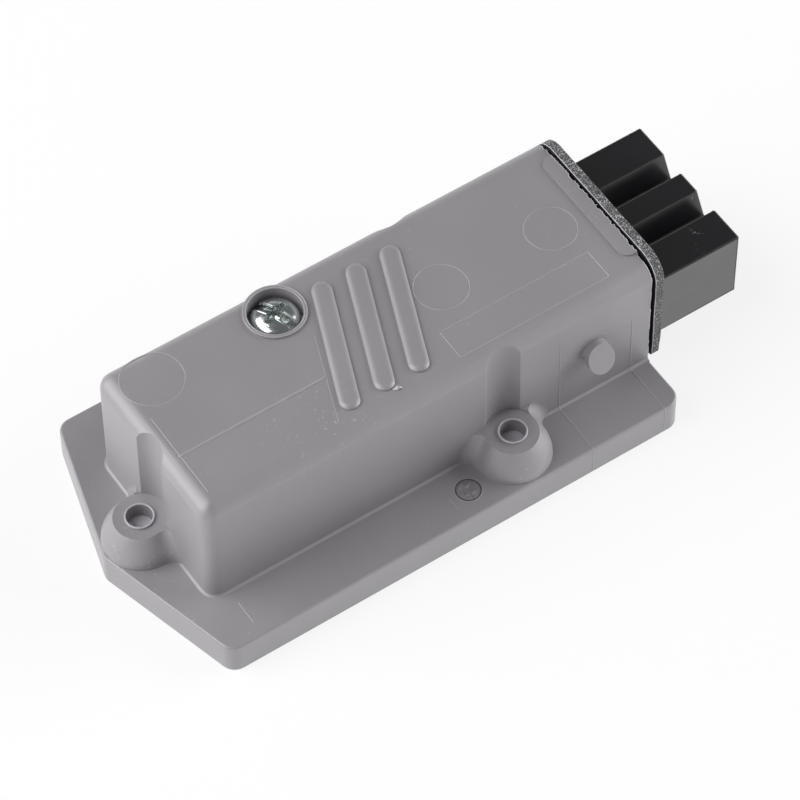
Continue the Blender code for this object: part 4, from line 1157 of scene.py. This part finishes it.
def screw_surface(look):
    """The screw: a polar grid over its head, then its sides, seat and threaded shank.

    The head falls with the radius squared, turns down at its rim with the radius to the power
    ten, and is cut by the recess. The thread is a helical ridge: the shank's radius swells with
    the fraction of height over pitch minus the angle's share of a turn. The last value says
    which faces lie in the recess.
    """
    spokes, head = 288, look.head / 2
    t = around(spokes)[None, :]
    r = np.linspace(0.0, 1.0, look.rings)[:, None] ** 0.9 * head * 0.997
    x, y = r * np.cos(t), r * np.sin(t)
    radius = np.hypot(x, y) / head
    recess = screw_recess(x, y, look)
    top = SCREW_HIGH.z - ((1.0 * radius ** 2 + 0.35 * radius ** 10) * MM + recess)
    seat = SCREW_HIGH.z - HEAD_HEIGHT
    rim = seat + (top[-1:] - seat) * np.linspace(1.0, 0.0, 6)[:, None]
    rim_r = head * np.array([1.0, 1.0, 1.0, 1.0, 0.995, 0.97])[:, None]
    turns, pitch, shank = 90, 0.9 * MM, 1.62 * MM
    down = np.linspace(seat, SCREW_LOW.z + 0.5 * MM, turns)[:, None]
    phase = ((seat - down) / pitch - t / (2 * np.pi)) % 1.0
    ridge = np.clip(1.0 - np.abs(phase - 0.5) * 3.2, 0.0, 1.0)
    taper = smooth_step(down, SCREW_LOW.z + 0.4 * MM, SCREW_LOW.z + 2.0 * MM)
    run_out = smooth_step(seat - down, 0.8 * MM, 1.8 * MM)
    shank_r = (0.72 + 0.28 * taper) * shank + 0.17 * MM * ridge * run_out * taper
    full = np.ones_like(t)
    rows_r = np.concatenate([r * full, rim_r * full, shank_r, 0 * full])
    rows_z = np.concatenate([top, rim, down * full, SCREW_LOW.z * full])
    points, faces = surface(turned(rows_r, t, rows_z, SCREW_MIDDLE))
    sunk = np.zeros(rows_z.shape, bool)
    sunk[:look.rings] = recess > 0.16 * MM
    beside = np.roll(sunk, -1, axis=1)
    return points, faces, (sunk[:-1] & sunk[1:] & beside[:-1] & beside[1:]).reshape(-1)


class CONNECTOR_OT_screw(ConnectorOperator, bpy.types.Operator):
    """Makes the pan head screw in the roof, with its slot, cross recess and thread."""

    bl_idname = "connector.screw"
    bl_label = "Carrier screw"

    def execute(self, context):
        zinc = plated_metal("zinc_steel", (0.62, 0.66, 0.66), 0.2, 1500.0)
        # The recess finish is darker than the head: painted shade inside the recess, and it is a
        # little rougher too
        wear_and_painted_light = plated_metal("recess_steel_shaded", (0.50, 0.54, 0.53), 0.26, 2600.0)
        points, faces, low = screw_surface(self.settings(context).screw)
        piece = add_piece("pan_head_screw", points, faces, [zinc, wear_and_painted_light], "zinc_steel", 45.0, low)
        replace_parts(piece, "carrier_screw")
        return {"FINISHED"}


class CONNECTOR_OT_metal(ConnectorOperator, bpy.types.Operator):
    """Dresses the contacts, clips, guards and terminal screws inside the insert."""

    bl_idname = "connector.metal"
    bl_label = "Inner metal"

    def execute(self, context):
        brass = plated_metal("brass", (0.72, 0.50, 0.20), 0.28, 900.0)
        spring = plated_metal("spring_steel", (0.52, 0.52, 0.53), 0.3, 1200.0)
        zinc = plated_metal("terminal_zinc", (0.66, 0.69, 0.70), 0.25, 1500.0)
        for name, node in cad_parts.items():
            if "spring" in name or "guard" in name:
                dress(node, spring)
            elif "terminal_screw" in name:
                dress(node, zinc)
            elif "line_contact" in name or "earth_contact" in name:
                dress(node, brass)
        return {"FINISHED"}


class CONNECTOR_PT_panel(bpy.types.Panel):
    """Lists the connector's operators."""

    bl_idname = "CONNECTOR_PT_panel"
    bl_label = "Connector"
    bl_space_type = "VIEW_3D"
    bl_region_type = "UI"
    bl_category = "Connector"

    def draw(self, context):
        for operator in OPERATORS:
            self.layout.operator(operator.bl_idname)


SETTINGS = (HousingSettings, InsertSettings, ScrewSettings, StageSettings, ConnectorSettings)
OPERATORS = (CONNECTOR_OT_stage, CONNECTOR_OT_housing, CONNECTOR_OT_mould_marks,
             CONNECTOR_OT_flash, CONNECTOR_OT_carrier, CONNECTOR_OT_seal,
             CONNECTOR_OT_screw, CONNECTOR_OT_metal)


def register():
    """Registers the settings, the operators and the panel."""
    for item in (*SETTINGS, *OPERATORS, CONNECTOR_PT_panel):
        bpy.utils.register_class(item)
    bpy.types.Scene.connector = PointerProperty(type=ConnectorSettings)


def unregister():
    """Takes the settings, the operators and the panel away again."""
    del bpy.types.Scene.connector
    for item in reversed((*SETTINGS, *OPERATORS, CONNECTOR_PT_panel)):
        bpy.utils.unregister_class(item)


def main():
    """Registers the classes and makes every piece."""
    register()
    bpy.ops.connector.stage()
    bpy.ops.connector.housing()
    bpy.ops.connector.mould_marks()
    bpy.ops.connector.flash()
    bpy.ops.connector.carrier()
    bpy.ops.connector.seal()
    bpy.ops.connector.screw()
    bpy.ops.connector.metal()


if __name__ == "__main__":
    main()
